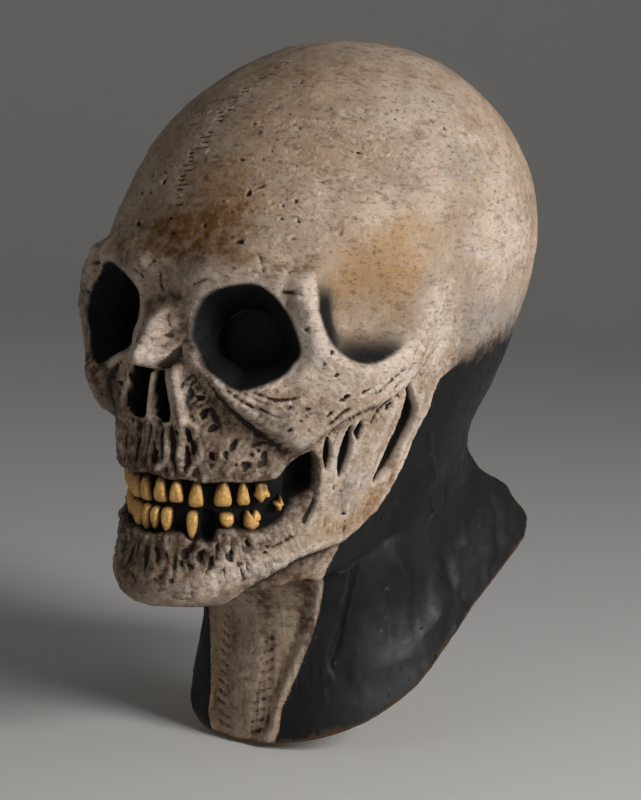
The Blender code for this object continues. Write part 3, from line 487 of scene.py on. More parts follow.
def natural_spline(knots: np.ndarray, values: np.ndarray, at: np.ndarray) -> np.ndarray:
    """Smooth curve through rows of values, with relaxed ends.

    Args:
        knots: where each row of values stands.
        values: one row for each knot.
        at: where the curve is wanted.

    Returns:
        One row for each place in at.
    """
    n = len(knots)
    h = np.diff(knots)
    system = np.eye(n)
    right = np.zeros_like(values)
    for i in range(1, n - 1):
        system[i, i - 1:i + 2] = (h[i - 1], 2.0 * (h[i - 1] + h[i]), h[i])
        right[i] = 6.0 * ((values[i + 1] - values[i]) / h[i] - (values[i] - values[i - 1]) / h[i - 1])
    bend = np.linalg.solve(system, right)
    i = np.clip(np.searchsorted(knots, at) - 1, 0, n - 2)
    a = ((knots[i + 1] - at) / h[i])[:, None]
    b = ((at - knots[i]) / h[i])[:, None]
    curve = a * values[i] + b * values[i + 1]
    return curve + ((a ** 3 - a) * bend[i] + (b ** 3 - b) * bend[i + 1]) * (h[i] ** 2)[:, None] / 6.0


def smooth_line(points: Line, closed: bool, pieces: int = 6) -> np.ndarray:
    """A rounded line through the points, in millimetres on the unrolled shell.

    Args:
        points: the line's corners, in degrees and millimetres down.
        closed: whether the line comes back to its first point.
        pieces: how many steps each stretch gets.

    Returns:
        The points of the rounded line.
    """
    p = np.array(points, float)
    p[:, 0] *= MM_PER_DEGREE
    n = len(p)
    if n < 3 and not closed:
        return p
    out = []
    for i in range(n if closed else n - 1):
        if closed:
            a, b, c, d = p[(i - 1) % n], p[i], p[(i + 1) % n], p[(i + 2) % n]
        else:
            a, b, c, d = p[max(i - 1, 0)], p[i], p[i + 1], p[min(i + 2, n - 1)]
        for k in range(pieces):
            t = k / pieces
            out.append(0.5 * (2 * b + (c - a) * t + (2 * a - 5 * b + 4 * c - d) * t ** 2
                              + (3 * b - a - 3 * c + d) * t ** 3))
    if not closed:
        out.append(p[-1])
    return np.array(out)


def run_of_steps(runs: tuple[tuple[float, float], ...]) -> np.ndarray:
    """Places from 0 outwards, at a step that changes from run to run.

    Args:
        runs: the end of each run and the step wanted in it.

    Returns:
        The places, the last run's end among them.
    """
    places = [0.0]
    start = 0.0
    for end, step in runs:
        count = max(int(round((end - start) / step)), 1)
        places += list(start + (end - start) * np.arange(1, count + 1) / count)
        start = end
    return np.array(places)


@dataclass
class LatexSkin:
    """The outer skin of the casting on an even grid of rows down the shell and columns round it."""

    columns: int = 896
    steps: int = 760
    seed: int = 7
    marks: dict[str, np.ndarray] = field(default_factory=dict)

    def __post_init__(self) -> None:
        """Lay out the grid and its plain form."""
        self.degrees = np.arange(self.columns) * 360.0 / self.columns - 180.0
        self.table = np.array(list(RINGS.values()), float)
        self.knots = self.ring_places()
        self.rows = np.linspace(0.0, self.knots[-1], self.steps + 1)
        self.base = self.plain_form(self.rows, self.degrees)
        self.angle = self.degrees[None] * np.ones((len(self.rows), 1))
        self.down = self.rows[:, None] * np.ones((1, len(self.degrees)))
        self.out = self.soft_directions()
        self.rise = np.zeros(self.angle.shape)
        self.chance = np.random.default_rng(self.seed)

    def ring_places(self) -> np.ndarray:
        """How far down the shell each named ring lies."""
        column = {name: i for i, name in enumerate(RING_COLUMNS)}
        side = self.table[:, [column["half_width"], column["z_side"]]]
        front = self.table[:, [column["y_front"], column["z_front"]]]
        step = (np.linalg.norm(np.diff(side, axis=0), axis=1) + np.linalg.norm(np.diff(front, axis=0), axis=1)) / 2
        return np.concatenate([[0.0], np.cumsum(step)])

    def plain_form(self, rows: np.ndarray, degrees: np.ndarray) -> np.ndarray:
        """The head's plain form, in millimetres.

        Args:
            rows: distances down the shell.
            degrees: angles round from the nose.

        Returns:
            A point for each row and column.
        """
        column = {name: i for i, name in enumerate(RING_COLUMNS)}
        ghost = self.table[1:4].copy()
        ghost[:, column["half_width"]] *= -1
        for name in ("y_front", "y_back", "y_centre"):
            ghost[:, column[name]] = 2 * self.table[0, column[name]] - ghost[:, column[name]]
        knots = np.concatenate([-self.knots[1:4][::-1], self.knots])
        values = natural_spline(knots, np.concatenate([ghost[::-1], self.table]), rows)
        z_front, z_side, z_back, half, y_front, y_back, y_centre, n_front, n_back = values.T[:, :, None]
        angle = np.radians(degrees)[None]
        cosine, sine = np.cos(angle), np.sin(angle)
        reach = np.maximum(np.where(cosine > 0, y_centre - y_front, y_back - y_centre), 1e-6)
        power = np.where(cosine > 0, n_front, n_back)
        radius = (np.abs(cosine / reach) ** power + np.abs(sine / np.maximum(half, 1e-6)) ** power) ** (-1 / power)
        height = z_side + (z_front - z_back) / 2 * cosine + ((z_front + z_back) / 2 - z_side) * cosine ** 2
        form = np.stack([radius * sine, y_centre - radius * cosine, height], -1)
        return form - (0.0, CROWN_BEHIND_MIDDLE, -WALL)

    def soft_directions(self, reach: float = 15.0, step: int = 3) -> np.ndarray:
        """Outward directions, evened out down the shell, for every point of the grid."""
        rows = np.append(np.arange(0.0, self.knots[-1]), self.knots[-1])
        degrees = np.arange(-180, 180, step)
        form = self.plain_form(rows, degrees)
        along = np.roll(form, -1, 1) - np.roll(form, 1, 1)
        normal = np.cross(np.gradient(form, axis=0), along)
        normal[0] = (0.0, 0.0, 1.0)
        normal /= np.maximum(np.linalg.norm(normal, axis=-1, keepdims=True), 1e-9)
        here, there = rows[:, None], rows[None]
        near = np.exp(-0.5 * ((here - there) / reach) ** 2)
        over = np.exp(-0.5 * ((here + there) / reach) ** 2)
        total = np.tensordot(near, normal, 1) + np.tensordot(over, np.roll(normal, 180 // step, axis=1), 1)
        total /= np.linalg.norm(total, axis=-1, keepdims=True)
        wrapped = np.concatenate([total, total[:, :1]], 1)
        i = np.clip(self.rows, 0, len(rows) - 1.001)
        j = (self.degrees + 180.0) / step
        i0, j0 = i.astype(int), np.minimum(j.astype(int), len(degrees) - 1)
        s, t = (i - i0)[:, None, None], (j - j0)[None, :, None]
        upper = wrapped[i0][:, j0] * (1 - t) + wrapped[i0][:, j0 + 1] * t
        lower = wrapped[i0 + 1][:, j0] * (1 - t) + wrapped[i0 + 1][:, j0 + 1] * t
        result = upper * (1 - s) + lower * s
        return result / np.linalg.norm(result, axis=-1, keepdims=True)

    def places(self, side: Side) -> np.ndarray:
        """Every grid point on the unrolled shell, as a side of the face sees it."""
        angle = np.abs(self.angle) if side is Side.BOTH else self.angle * side.value
        return np.stack([angle * MM_PER_DEGREE, self.down], -1)

    def inside(self, outline: Line, side: Side = Side.BOTH, reach: float = 30.0) -> np.ndarray:
        """Distance in from a closed outline in millimetres, negative outside it.

        Args:
            outline: the outline's corners.
            side: the side of the face it is on.
            reach: how far outside it the distance is worked out.

        Returns:
            The distance at every grid point.
        """
        line = smooth_line(outline, True)
        place = self.places(side)
        near = ((place >= line.min(0) - reach) & (place <= line.max(0) + reach)).all(-1)
        q = place[near]
        best = np.full(len(q), 1e9)
        within = np.zeros(len(q), bool)
        for a, b in zip(line, np.roll(line, -1, axis=0)):
            run = b - a
            t = np.clip((q - a) @ run / max(run @ run, 1e-12), 0.0, 1.0)
            best = np.minimum(best, np.linalg.norm(q - a - t[:, None] * run, axis=1))
            if a[1] != b[1]:
                crosses = (a[1] > q[:, 1]) != (b[1] > q[:, 1])
                within ^= crosses & (q[:, 0] < run[0] * (q[:, 1] - a[1]) / run[1] + a[0])
        result = np.full(self.angle.shape, -50.0)
        result[near] = np.where(within, best, -best)
        return result

    def along(self, points: Line, width: float, fade: float, side: Side = Side.BOTH) -> np.ndarray:
        """Strength of a rounded ridge or groove along an open line.

        Args:
            points: the line's corners.
            width: the half width in millimetres.
            fade: the share of the length over which each end fades.
            side: the side of the face it is on.

        Returns:
            From 0 far away to 1 on the line, at every grid point.
        """
        line = smooth_line(points, False)
        reach = max(3.0 * width, 2.0)
        place = self.places(side)
        near = ((place >= line.min(0) - reach) & (place <= line.max(0) + reach)).all(-1)
        q = place[near]
        lengths = np.concatenate([[0.0], np.cumsum(np.linalg.norm(np.diff(line, axis=0), axis=1))])
        best = np.full(len(q), 1e9)
        share = np.zeros(len(q))
        for i, (a, b) in enumerate(zip(line[:-1], line[1:])):
            run = b - a
            t = np.clip((q - a) @ run / max(run @ run, 1e-12), 0.0, 1.0)
            distance = np.linalg.norm(q - a - t[:, None] * run, axis=1)
            share = np.where(distance < best, (lengths[i] + t * np.linalg.norm(run)) / lengths[-1], share)
            best = np.minimum(best, distance)
        strength = np.exp(-(best / width) ** 2)
        if fade > 0:
            strength *= 0.15 + 0.85 * ease(share / fade) * ease((1 - share) / fade)
        result = np.zeros(self.angle.shape)
        result[near] = strength
        return result

    def blurred(self, values: np.ndarray, reach: float) -> np.ndarray:
        """Values evened out over the skin.

        Args:
            values: one number for each grid point.
            reach: how far it evens out, in millimetres.

        Returns:
            The evened values.
        """
        rows = np.exp(-0.5 * ((self.rows[:, None] - self.rows[None]) / reach) ** 2)
        rows /= rows.sum(1, keepdims=True)
        turn = np.abs(self.degrees[:, None] - self.degrees[None])
        turn = np.minimum(turn, 360 - turn) * MM_AT_FACE
        columns = np.exp(-0.5 * (turn / reach) ** 2)
        columns /= columns.sum(1, keepdims=True)
        return rows @ values @ columns.T

    def sink_to(self, depth: np.ndarray | float, distance: np.ndarray, slope: float, start: float = 0.8) -> None:
        """Sink the skin to a floor of its own, by the distance in from an outline."""
        self.rise += (-depth - self.rise) * ease((distance + start) / slope)

    def nostrils(self) -> np.ndarray:
        """Distance in from the outlines of the two nostrils."""
        across = np.abs(self.angle) * MM_PER_DEGREE
        distance = np.where(self.angle > 0, self.inside(NOSTRIL, Side.LEFT), self.inside(FAR_NOSTRIL, Side.RIGHT))
        return np.where(self.down > self.nose_end(across), distance, -9.0)

    @staticmethod
    def nose_end(across: np.ndarray) -> np.ndarray:
        """How far down the nose bone reaches, for a place across it in millimetres."""
        return 215.5 - 0.11 * across ** 2

    def shape_bones(self) -> None:
        """Raise and sink the bones and openings, from the brow to the neck."""
        size = np.abs(self.angle)
        across = size * MM_PER_DEGREE
        down = self.down
        for height, width, fade, points in RIDGES.values():
            self.rise += height * self.along(points, width, fade)
        self.rise -= 3.0 * np.exp(-(across / 9.0) ** 2 - ((down - 182.0) / 8.0) ** 2)
        tail = 1.0 - ease((size - 60.0) / 14.0) * ease((212.0 - down) / 24.0)
        self.rise += CHEEK_RISE * tail * ease((self.inside(CHEEKBONE) + 3.5) / 8.0)
        for height, width, fade, points in CHEEK_RIDGES.values():
            self.rise += height * self.along(points, width, fade)
        deep = np.exp(-((size - 44.0) / 19.0) ** 2 - ((down - 194.0) / 30.0) ** 2)
        self.rise -= TEMPLE_DEPTH * deep * ease(self.inside(TEMPLE) / TEMPLE_SLOPE)
        share = np.clip((down - 178.0) / 30.0, 0.0, 1.0)
        end = self.nose_end(across)
        bone =np.exp(-(across / (5.5 + 1.5 * share)) ** 2) * ease((down - 174.0) / 20.0) * ease((end - down) / 3.0)
        self.rise += (3.0 + (NOSE_BONE_RISE - 3.0) * share) * bone
        self.rise -= NOSE_DIP * ease((self.inside(NOSE_OPENING) + 0.5) / 3.5)
        self.sink_to(NOSE_HOLE_DEPTH, self.nostrils(), 1.6, 0.4)
        wall = ease((SEPTUM_WIDTH - across) / 0.6) * ease((down - end) / 1.5) * ease((243.0 - down) / 6.0)
        self.rise += (SEPTUM_RISE - self.rise) * wall
        self.sink_to(SOCKET_DEPTH, self.inside(SOCKET), SOCKET_SLOPE, 1.0)
        corner = ease((size - 31.0) / 4.0)
        self.sink_to(MOUTH_DEPTH + (MOUTH_CORNER_DEPTH - MOUTH_DEPTH) * corner, self.inside(MOUTH), 2.4, 0.6)
        for height, width, fade, points in JAW_RIDGES.values():
            self.rise += height * self.along(points, width, fade)
        hem = self.rows[-1]
        behind = self.inside(JAW_LINE + ((0, hem), (120, hem), (120, 215)))
        self.rise -= JAW_STEP * ease((behind + 1.0) / 6.0) * ease((358.0 - down) / 40.0) * ease((100.0 - size) / 20.0)
        for depth, outline in SLOTS.values():
            self.rise -= depth * ease((self.inside(outline) + 0.8) / 3.0)
        strip = self.inside(NECK_RIDGE + ((-3, hem + 3), (-3, 300)))
        below = ease((down - 300.0) / 30.0)
        self.rise -= NECK_STRIP_DEPTH * ease(strip / 9.0) * below
        self.rise += NECK_RIDGE_RISE * self.along(NECK_RIDGE, 4.0, 0.0, Side.LEFT) * (0.3 + 0.7 * below)
        self.marks["behind_jaw"] = behind

    def shaken(self, groove: Groove) -> Line:
        """A mark's line for the other side of the face, a little off its mirror place."""
        shift = self.chance.normal(0.0, OTHER_SIDE_SHIFT)
        lead = self.chance.normal(0.0, OTHER_SIDE_SHIFT)
        return tuple((a + shift + self.chance.normal(0.0, 0.25), d + lead) for a, d in groove.points)

    def carve(self) -> None:
        """Cut the cracks, pits and tooth roots, and raise the small ridges."""
        first, top, bottom = TOOTH_ROOTS
        for groove in FACE_GROOVES:
            angle, down = np.mean(groove.points, axis=0)
            depth = groove.depth * (SMOOTH_SHARE if down < SMOOTH_ABOVE else 1.0)
            self.rise -= depth * self.along(groove.points, groove.width, groove.fade, Side.LEFT)
            points = self.shaken(groove)
            if not (angle < first and top < down < bottom):
                self.rise -= depth * self.along(points, groove.width, groove.fade, Side.RIGHT)
        for groove in RIGHT_GROOVES:
            depth = groove.depth * (SMOOTH_SHARE if groove.points[0][1] < SMOOTH_ABOVE else 1.0)
            self.rise -= depth * self.along(groove.points, groove.width, groove.fade, Side.RIGHT)
        for pit in FACE_PITS:
            self.sink_pit(pit, Side.LEFT)
            da, dd = self.chance.normal(0.0, OTHER_SIDE_SHIFT, 2)
            if not (pit.angle < first and top < pit.down < bottom):
                self.sink_pit(Pit(pit.angle + da, pit.down + dd, pit.across, pit.tall, pit.depth, pit.turn), Side.RIGHT)
        for pit in RIGHT_PITS:
            self.sink_pit(pit, Side.RIGHT)
        for angle, down, length in SUTURE:
            half = length / MM_PER_DEGREE / 2
            line = ((angle - half, down + 0.12 * length), (angle, down), (angle + half, down - 0.12 * length))
            self.rise -= SUTURE_DEPTH * self.along(line, SUTURE_WIDTH, 0.3, Side.LEFT)
        for a, b, c, d in STRIP_RIBS:
            self.rise -= RIB_DEPTH * self.along(((a, b), (c, d)), RIB_WIDTH, 0.25, Side.LEFT)
        for groove in NECK_FOLDS:
            self.rise -= groove.depth * self.along(groove.points, groove.width, groove.fade, Side.LEFT)
            self.rise -= groove.depth * self.along(self.shaken(groove), groove.width, groove.fade, Side.RIGHT)
        share = ease((self.inside(EMPTY_SOCKET, Side.LEFT) + 0.5) / 1.4)
        self.rise += (-EMPTY_SOCKET_DEPTH - self.rise) * share

    def sink_pit(self, pit: Pit, side: Side) -> None:
        """Sink one small hollow with a slightly raised lip.

        Args:
            pit: the hollow's place and size.
            side: the side of the face it is on.
        """
        place = self.places(side)
        x = place[..., 0] - pit.angle * MM_PER_DEGREE
        y = place[..., 1] - pit.down
        near = (np.abs(x) < 3 * (abs(pit.across) + pit.tall)) & (np.abs(y) < 3 * (abs(pit.across) + pit.tall))
        turn = math.radians(pit.turn)
        x, y = x[near], y[near]
        u = (x * math.cos(turn) + y * math.sin(turn)) / abs(pit.across)
        v = (-x * math.sin(turn) + y * math.cos(turn)) / pit.tall
        reach = np.hypot(u, v) * (1.0 + 0.12 * np.sin(3.0 * np.arctan2(v, u) + pit.down))
        bowl = np.clip(1.15 - reach ** 2, 0.0, 1.0) ** 0.6
        lip = np.exp(-((reach - 1.35) / 0.3) ** 2)
        depth = pit.depth * (SMOOTH_SHARE if pit.down < SMOOTH_ABOVE else 1.0)
        self.rise[near] -= depth * (bowl - 0.06 * lip)

    def roughen(self) -> None:
        """Work the small relief of old bone and folded latex into the surface."""
        sockets = ease((self.inside(SOCKET) + 1.0) / 5.0)
        size = np.abs(self.angle)
        for k, relief in enumerate(RELIEFS):
            (left, right), (top, bottom) = relief.angles, relief.downs
            soft = relief.soft
            share = ease((size - left) * MM_PER_DEGREE / soft + 0.5) * ease((right - size) * MM_PER_DEGREE / soft + 0.5)
            share *= ease((self.down - top) / soft + 0.5) * ease((bottom - self.down) / soft + 0.5)
            share *= 1.0 - 0.85 * sockets
            near = share > 0.02
            if right > 180:
                place = self.base[near] / (relief.across, relief.across, relief.tall)
            else:
                across = self.angle[near] * MM_PER_DEGREE
                down = self.down[near]
                lean = relief.lean * down * np.sign(across)
                place = np.stack([(across + lean) / relief.across, down / relief.tall, 0 * down], -1)
            place = place + (0.0, 0.0, RELIEF_SPACING * k)
            if relief.grain is Grain.SOFT:
                value = np.array([noise.fractal(p, 0.8, 2.1, 4) for p in place.tolist()])
            else:
                value = np.array([noise.turbulence(p, 3, True) for p in place.tolist()]) * 1.6 - 0.8
            self.rise[near] += relief.height * share[near] * value

    def raise_lips(self) -> None:
        """Raise a low ring of latex round each eye opening."""
        across = (np.abs(self.angle) - EYE_ANGLE) * MM_PER_DEGREE / EYE_MESH_STRETCH
        far = np.hypot(across, self.down - EYE_DOWN)
        self.rise += LIP_RISE * np.exp(-((far - LIP_RADIUS) / LIP_WIDTH) ** 2)

    def hollows(self) -> None:
        """Mark how far each point lies under or over its neighbourhood, at three scales."""
        temple = 1.0 - 0.85 * ease((self.inside(TEMPLE) + 4.0) / 4.0)
        for name, reach, unit in (("fine", 1.3, 0.5), ("broad", 4.5, 2.2), ("deep", 12.0, 5.0)):
            self.marks[name] = np.clip((self.blurred(self.rise, reach) - self.rise) / unit, -1.5, 3.0) * temple

    def paint(self) -> None:
        """Mark where each paint lies, painted shade, painted highlights and painted sheen among them."""
        size = np.abs(self.angle)
        down = self.down
        for paint, stains in STAINS.items():
            total = np.zeros(size.shape)
            for angle, level, across, tall, strength in stains:
                off = self.angle - angle
                spot = np.exp(-(off * MM_PER_DEGREE / across) ** 2 - ((down - level) / tall) ** 2)
                if angle > BOTH_SIDES_FROM:
                    off = -self.angle - angle
                    spot += np.exp(-(off * MM_PER_DEGREE / across) ** 2 - ((down - level) / tall) ** 2)
                total += strength * spot
            self.marks[paint.value] = np.clip(total, 0.0, 1.0)
        mouth = self.inside(MOUTH)
        around = np.exp(-(np.maximum(-mouth, 0.0) / MOUTH_HALO) ** 2) * ease((46.0 - size) / 10.0)
        self.marks["umber_and_shade"] = np.clip(self.marks["umber_and_shade"] + 0.85 * around, 0.0, 1.0)
        nose_side = ease((15.0 - size) / 7.0)
        void = ease((self.inside(SOCKET) + 2.8) / (3.6 + 2.0 * nose_side))
        void = np.maximum(void, ease((self.nostrils() + 0.9) / 0.8))
        void = np.maximum(void, ease((mouth + 0.6) / 2.2))
        void = np.maximum(void, ease((self.inside(EMPTY_SOCKET, Side.LEFT) + 0.5) / 1.5))
        for _, outline in SLOTS.values():
            void = np.maximum(void, 0.72 * ease((self.inside(outline) + 0.3) / 2.2))
        # Painted shade: a dark band along the front and lower edge of the temple hollow, joined to the black of the
        # openings.
        fossa = self.inside(TEMPLE)
        front = np.exp(-((size - 37.0) / 8.0) ** 2) * ease((down - 160.0) / 20.0)
        low = np.maximum(front, np.exp(-((down - 206.0) / 14.0) ** 2) * ease((66.0 - size) / 10.0))
        edge = ease((fossa + 2.6) / 2.2) * np.exp(-(np.maximum(fossa - 2.0, 0.0) / 10.0) ** 2) * low
        self.marks["void"] = np.maximum(void, 0.8 * edge)
        hem = self.rows[-1]
        crisp = ease((self.marks.pop("behind_jaw") + 0.2) / 1.6)
        fade = np.interp(size, [p[0] for p in FADE_LINE], [p[1] for p in FADE_LINE])
        soft = ease((down - fade + FADE_LENGTH * 0.4) / FADE_LENGTH)
        turn = ease((size - 81.0) / 5.0)
        half_width = np.where(self.angle > 0, RIDGE_HALF_WIDTH, FAR_RIDGE_HALF_WIDTH)
        strip = ease((self.inside(NECK_RIDGE + ((-3, hem + 3), (-3, 296))) + half_width) / 1.2)
        self.marks["black"] = ((1 - turn) * crisp + turn * soft) * (1.0 - strip)
        self.marks["rim"] = ease((down - hem + RIM_WIDTH) / 0.6)

    def point(self, degrees: float, down: float, rise: float) -> Vector:
        """A place in space, from the grid's four nearest points.

        Args:
            degrees: the angle round from the nose.
            down: the distance down the shell.
            rise: the height over the plain form.

        Returns:
            The place in millimetres.
        """
        i0 = int(np.clip(np.searchsorted(self.rows, down) - 1, 0, len(self.rows) - 2))
        j0 = int(np.clip(np.searchsorted(self.degrees, degrees) - 1, 0, len(self.degrees) - 2))
        s = (down - self.rows[i0]) / (self.rows[i0 + 1] - self.rows[i0])
        t = (degrees - self.degrees[j0]) / (self.degrees[j0 + 1] - self.degrees[j0])
        place = np.zeros(3)
        for row, share_row in ((i0, 1 - s), (i0 + 1, s)):
            for column, share_column in ((j0, 1 - t), (j0 + 1, t)):
                place += share_row * share_column * (self.base[row, column] + rise * self.out[row, column])
        return Vector(place)

@dataclass
class LatexShell:
    """The casting as one closed mesh: outer skin, inner skin, hem and the cut eye openings.

    The outer skin's cells are split where its relief or paint changes fast, and stay large elsewhere.
    """

    skin: LatexSkin
    cell_sizes: tuple[int, ...] = (8, 4, 2, 1)
    triangle_limit: int = 172_000
    inner_rows: int = 10
    inner_columns: int = 16
    low_reach_degrees: float = 6.0
    low_reach_down: float = 9.0

    def inner_rise(self, rows: np.ndarray, columns: np.ndarray) -> np.ndarray:
        """Height of the inner skin: one wall under the lowest outer skin nearby."""
        skin = self.skin
        low = np.zeros((len(rows), len(skin.degrees)))
        for k, down in enumerate(skin.rows[rows]):
            near = np.abs(skin.rows - down) <= self.low_reach_down
            low[k] = skin.rise[near].min(0)
        result = np.zeros((len(rows), len(columns)))
        for k, degrees in enumerate(skin.degrees[columns]):
            turn = np.abs(skin.degrees - degrees)
            near = np.minimum(turn, 360 - turn) <= self.low_reach_degrees
            result[:, k] = low[:, near].min(1)
        return result - WALL

    def unevenness(self, size: int) -> np.ndarray:
        """How far the relief and the paint leave a flat cell, for every cell of one size."""
        skin = self.skin
        weights = {"fine": 0.02, "void": 0.5, "black": 0.5, "rim": 0.1}
        fields = [(skin.rise, 1.0)] + [(skin.marks[name], weight) for name, weight in weights.items()]
        total = 0.0
        step = max(size // 4, 1)
        for values, weight in fields:
            wide = np.concatenate([values, values[:, :1]], 1)
            a, b = wide[:-1:size, :-1:size], wide[:-1:size, size::size]
            c, d = wide[size::size, :-1:size], wide[size::size, size::size]
            worst = np.zeros(a.shape)
            for i in range(0, size + 1, step):
                for j in range(0, size + 1, step):
                    s, t = i / size, j / size
                    flat = (a * (1 - t) + b * t) * (1 - s) + (c * (1 - t) + d * t) * s
                    part = wide[i:, j:][::size, ::size][:a.shape[0], :a.shape[1]]
                    worst = np.maximum(worst, np.abs(part - flat))
            total = total + weight * worst
        return total

    def leaves(self) -> dict[int, np.ndarray]:
        """Which cells of each size are kept whole, within the triangle limit."""
        uneven = {size: self.unevenness(size) for size in self.cell_sizes[:-1]}
        allowed = 0.012
        while True:
            kept = {}
            wanted = np.ones(uneven[self.cell_sizes[0]].shape, bool)
            for size in self.cell_sizes[:-1]:
                split = wanted & (uneven[size] > allowed)
                kept[size] = wanted & ~split
                wanted = split.repeat(2, 0).repeat(2, 1)
            kept[self.cell_sizes[-1]] = wanted
            if 2 * sum(int(cells.sum()) for cells in kept.values()) < self.triangle_limit:
                return kept
            allowed *= 1.06

    def outer_faces(self, kept: dict[int, np.ndarray]) -> tuple[np.ndarray, list[tuple[int, ...]]]:
        """Turn the kept cells into faces that share every corner on their edges.

        Args:
            kept: the kept cells of each size.

        Returns:
            The number of each grid point, or -1 where it isn't used, and the faces.
        """
        n_rows, n_columns = self.skin.rise.shape
        used = np.zeros((n_rows, n_columns), bool)
        for size, cells in kept.items():
            i, j = np.nonzero(cells)
            for di, dj in ((0, 0), (size, 0), (size, size), (0, size)):
                used[i * size + di, (j * size + dj) % n_columns] = True
        number = np.full((n_rows, n_columns), -1)
        used[0] = False
        number[used] = np.arange(1, int(used.sum()) + 1)
        number[0] = 0
        look_up = np.concatenate([number, number[:, :1]], 1).tolist()
        faces = []
        for size, cells in kept.items():
            walk = [(k, 0) for k in range(size)] + [(size, k) for k in range(size)]
            walk += [(size - k, size) for k in range(size)] + [(0, size - k) for k in range(size)]
            for i, j in zip(*np.nonzero(cells)):
                i0, j0 = int(i) * size, int(j) * size
                face = []
                for di, dj in walk:
                    corner = look_up[i0 + di][j0 + dj]
                    if corner >= 0 and (not face or face[-1] != corner):
                        face.append(corner)
                if face[0] == face[-1]:
                    face.pop()
                faces.append(tuple(face))
        return number, faces

    def build(self) -> bpy.types.Object:
        """Make the mesh, with the paint marks as attributes.

        Returns:
            The latex piece.
        """
        skin = self.skin
        number, faces = self.outer_faces(self.leaves())
        chosen = number > 0
        order = np.argsort(number[chosen])
        outer = ((skin.base + skin.rise[..., None] * skin.out) * MM)
        n_rows, n_columns = skin.rise.shape
        columns = np.arange(0, n_columns, self.inner_columns)
        rows = np.arange(0, n_rows, self.inner_rows)
        rise = self.inner_rise(rows, columns)
        inner = (skin.base[np.ix_(rows, columns)] + rise[..., None] * skin.out[np.ix_(rows, columns)]) * MM
        verts = np.concatenate([outer[:1, 0], outer[chosen][order], inner[:1, 0], inner[1:].reshape(-1, 3)])
        start = 1 + int(chosen.sum())
        faces += self.inner_faces(start, len(rows), len(columns))
        hem_columns = np.nonzero(number[-1] > 0)[0]
        inner_hem = [start + 1 + (len(rows) - 2) * len(columns) + j for j in range(len(columns))]
        faces += self.stitch(number[-1][hem_columns].tolist(), skin.degrees[hem_columns], inner_hem, skin.degrees[columns])
        mesh = bpy.data.meshes.new("skull_shell")
        mesh.from_pydata(verts.tolist(), [], faces)
        mesh.update()
        rest = np.zeros(len(verts) - start)
        for name, values in skin.marks.items():
            flat = np.concatenate([[values[0, 0]], values[chosen][order], rest])
            mesh.attributes.new(name, "FLOAT", "POINT").data.foreach_set("value", flat.astype(np.float32))
        raw = np.concatenate([np.zeros(start), rest + 1.0])
        mesh.attributes.new("raw", "FLOAT", "POINT").data.foreach_set("value", raw.astype(np.float32))
        mesh.shade_smooth()
        shell = bpy.data.objects.new("skull_shell", mesh)
        bpy.context.scene.collection.objects.link(shell)
        self.cut_eye_openings(shell)
        return shell

    @staticmethod
    def inner_faces(start: int, n_rows: int, n_columns: int) -> list[tuple[int, ...]]:
        """Faces of the inner skin, which look into the mask.

        Args:
            start: the index of its topmost vertex.
            n_rows: how many rows, the topmost vertex among them.
            n_columns: how many columns.

        Returns:
            The faces as vertex indices.
        """
        faces = []
        first = start + 1
        for j in range(n_columns):
            faces.append((first + (j + 1) % n_columns, first + j, start))
        for i in range(n_rows - 2):
            upper, lower = first + i * n_columns, first + (i + 1) * n_columns
            for j in range(n_columns):
                k = (j + 1) % n_columns
                faces.append((upper + k, lower + k, lower + j, upper + j))
        return faces

    @staticmethod
    def stitch(a: list[int], at_a: np.ndarray, b: list[int], at_b: np.ndarray) -> list[tuple[int, ...]]:
        """Triangles between two closed loops, walked in step.

        Args:
            a: the first loop's vertices.
            at_a: where each stands round the loop, rising from -180.
            b: the second loop's vertices.
            at_b: where each stands.

        Returns:
            The triangles.
        """
        faces = []
        i = j = 0
        n, m = len(a), len(b)
        far_a = np.append(at_a, at_a[0] + 360)
        far_b = np.append(at_b, at_b[0] + 360)
        while i < n or j < m:
            if j >= m or (i < n and far_a[i + 1] <= far_b[j + 1]):
                faces.append((a[i % n], b[j % m], a[(i + 1) % n]))
                i += 1
            else:
                faces.append((a[i % n], b[j % m], b[(j + 1) % m]))
                j += 1
        return faces

    def cut_eye_openings(self, shell: bpy.types.Object) -> None:
        """Cut a round opening through the floor of each socket, and blacken its wall."""
        cutters = []
        lines = []
        for side in (1, -1):
            start = self.skin.point(side * EYE_ANGLE, EYE_DOWN, -SOCKET_DEPTH - 30.0) * MM
            end = self.skin.point(side * EYE_ANGLE, EYE_DOWN, -SOCKET_DEPTH + 8.0) * MM
            lines.append((np.array(start), np.array((end - start).normalized())))
            bm = bmesh.new()
            bmesh.ops.create_cone(bm, cap_ends=True, segments=72, radius1=EYE_OPENING_RADIUS * MM,
                                  radius2=EYE_OPENING_RADIUS * MM, depth=(end - start).length)
            turn = (end - start).to_track_quat("Z", "Y").to_matrix().to_4x4()
            bmesh.ops.transform(bm, matrix=Matrix.Translation((start + end) / 2) @ turn, verts=bm.verts)
            mesh = bpy.data.meshes.new("eye_cutter")
            bm.to_mesh(mesh)
            bm.free()
            cutter = bpy.data.objects.new("eye_cutter", mesh)
            bpy.context.scene.collection.objects.link(cutter)
            cut = shell.modifiers.new("eye_opening", "BOOLEAN")
            cut.operation = "DIFFERENCE"
            cut.solver = "EXACT"
            cut.object = cutter
            cutters.append(cutter)
        depsgraph = bpy.context.evaluated_depsgraph_get()
        cut_mesh = bpy.data.meshes.new_from_object(shell.evaluated_get(depsgraph))
        shell.modifiers.clear()
        shell.data = cut_mesh
        for cutter in cutters:
            bpy.data.objects.remove(cutter, do_unlink=True)
        places = np.zeros(len(cut_mesh.vertices) * 3, np.float32)
        cut_mesh.vertices.foreach_get("co", places)
        places = places.reshape(-1, 3)
        wall = np.zeros(len(places), bool)
        within = np.zeros(len(places), np.float32)
        cut_mesh.attributes["raw"].data.foreach_get("value", within)
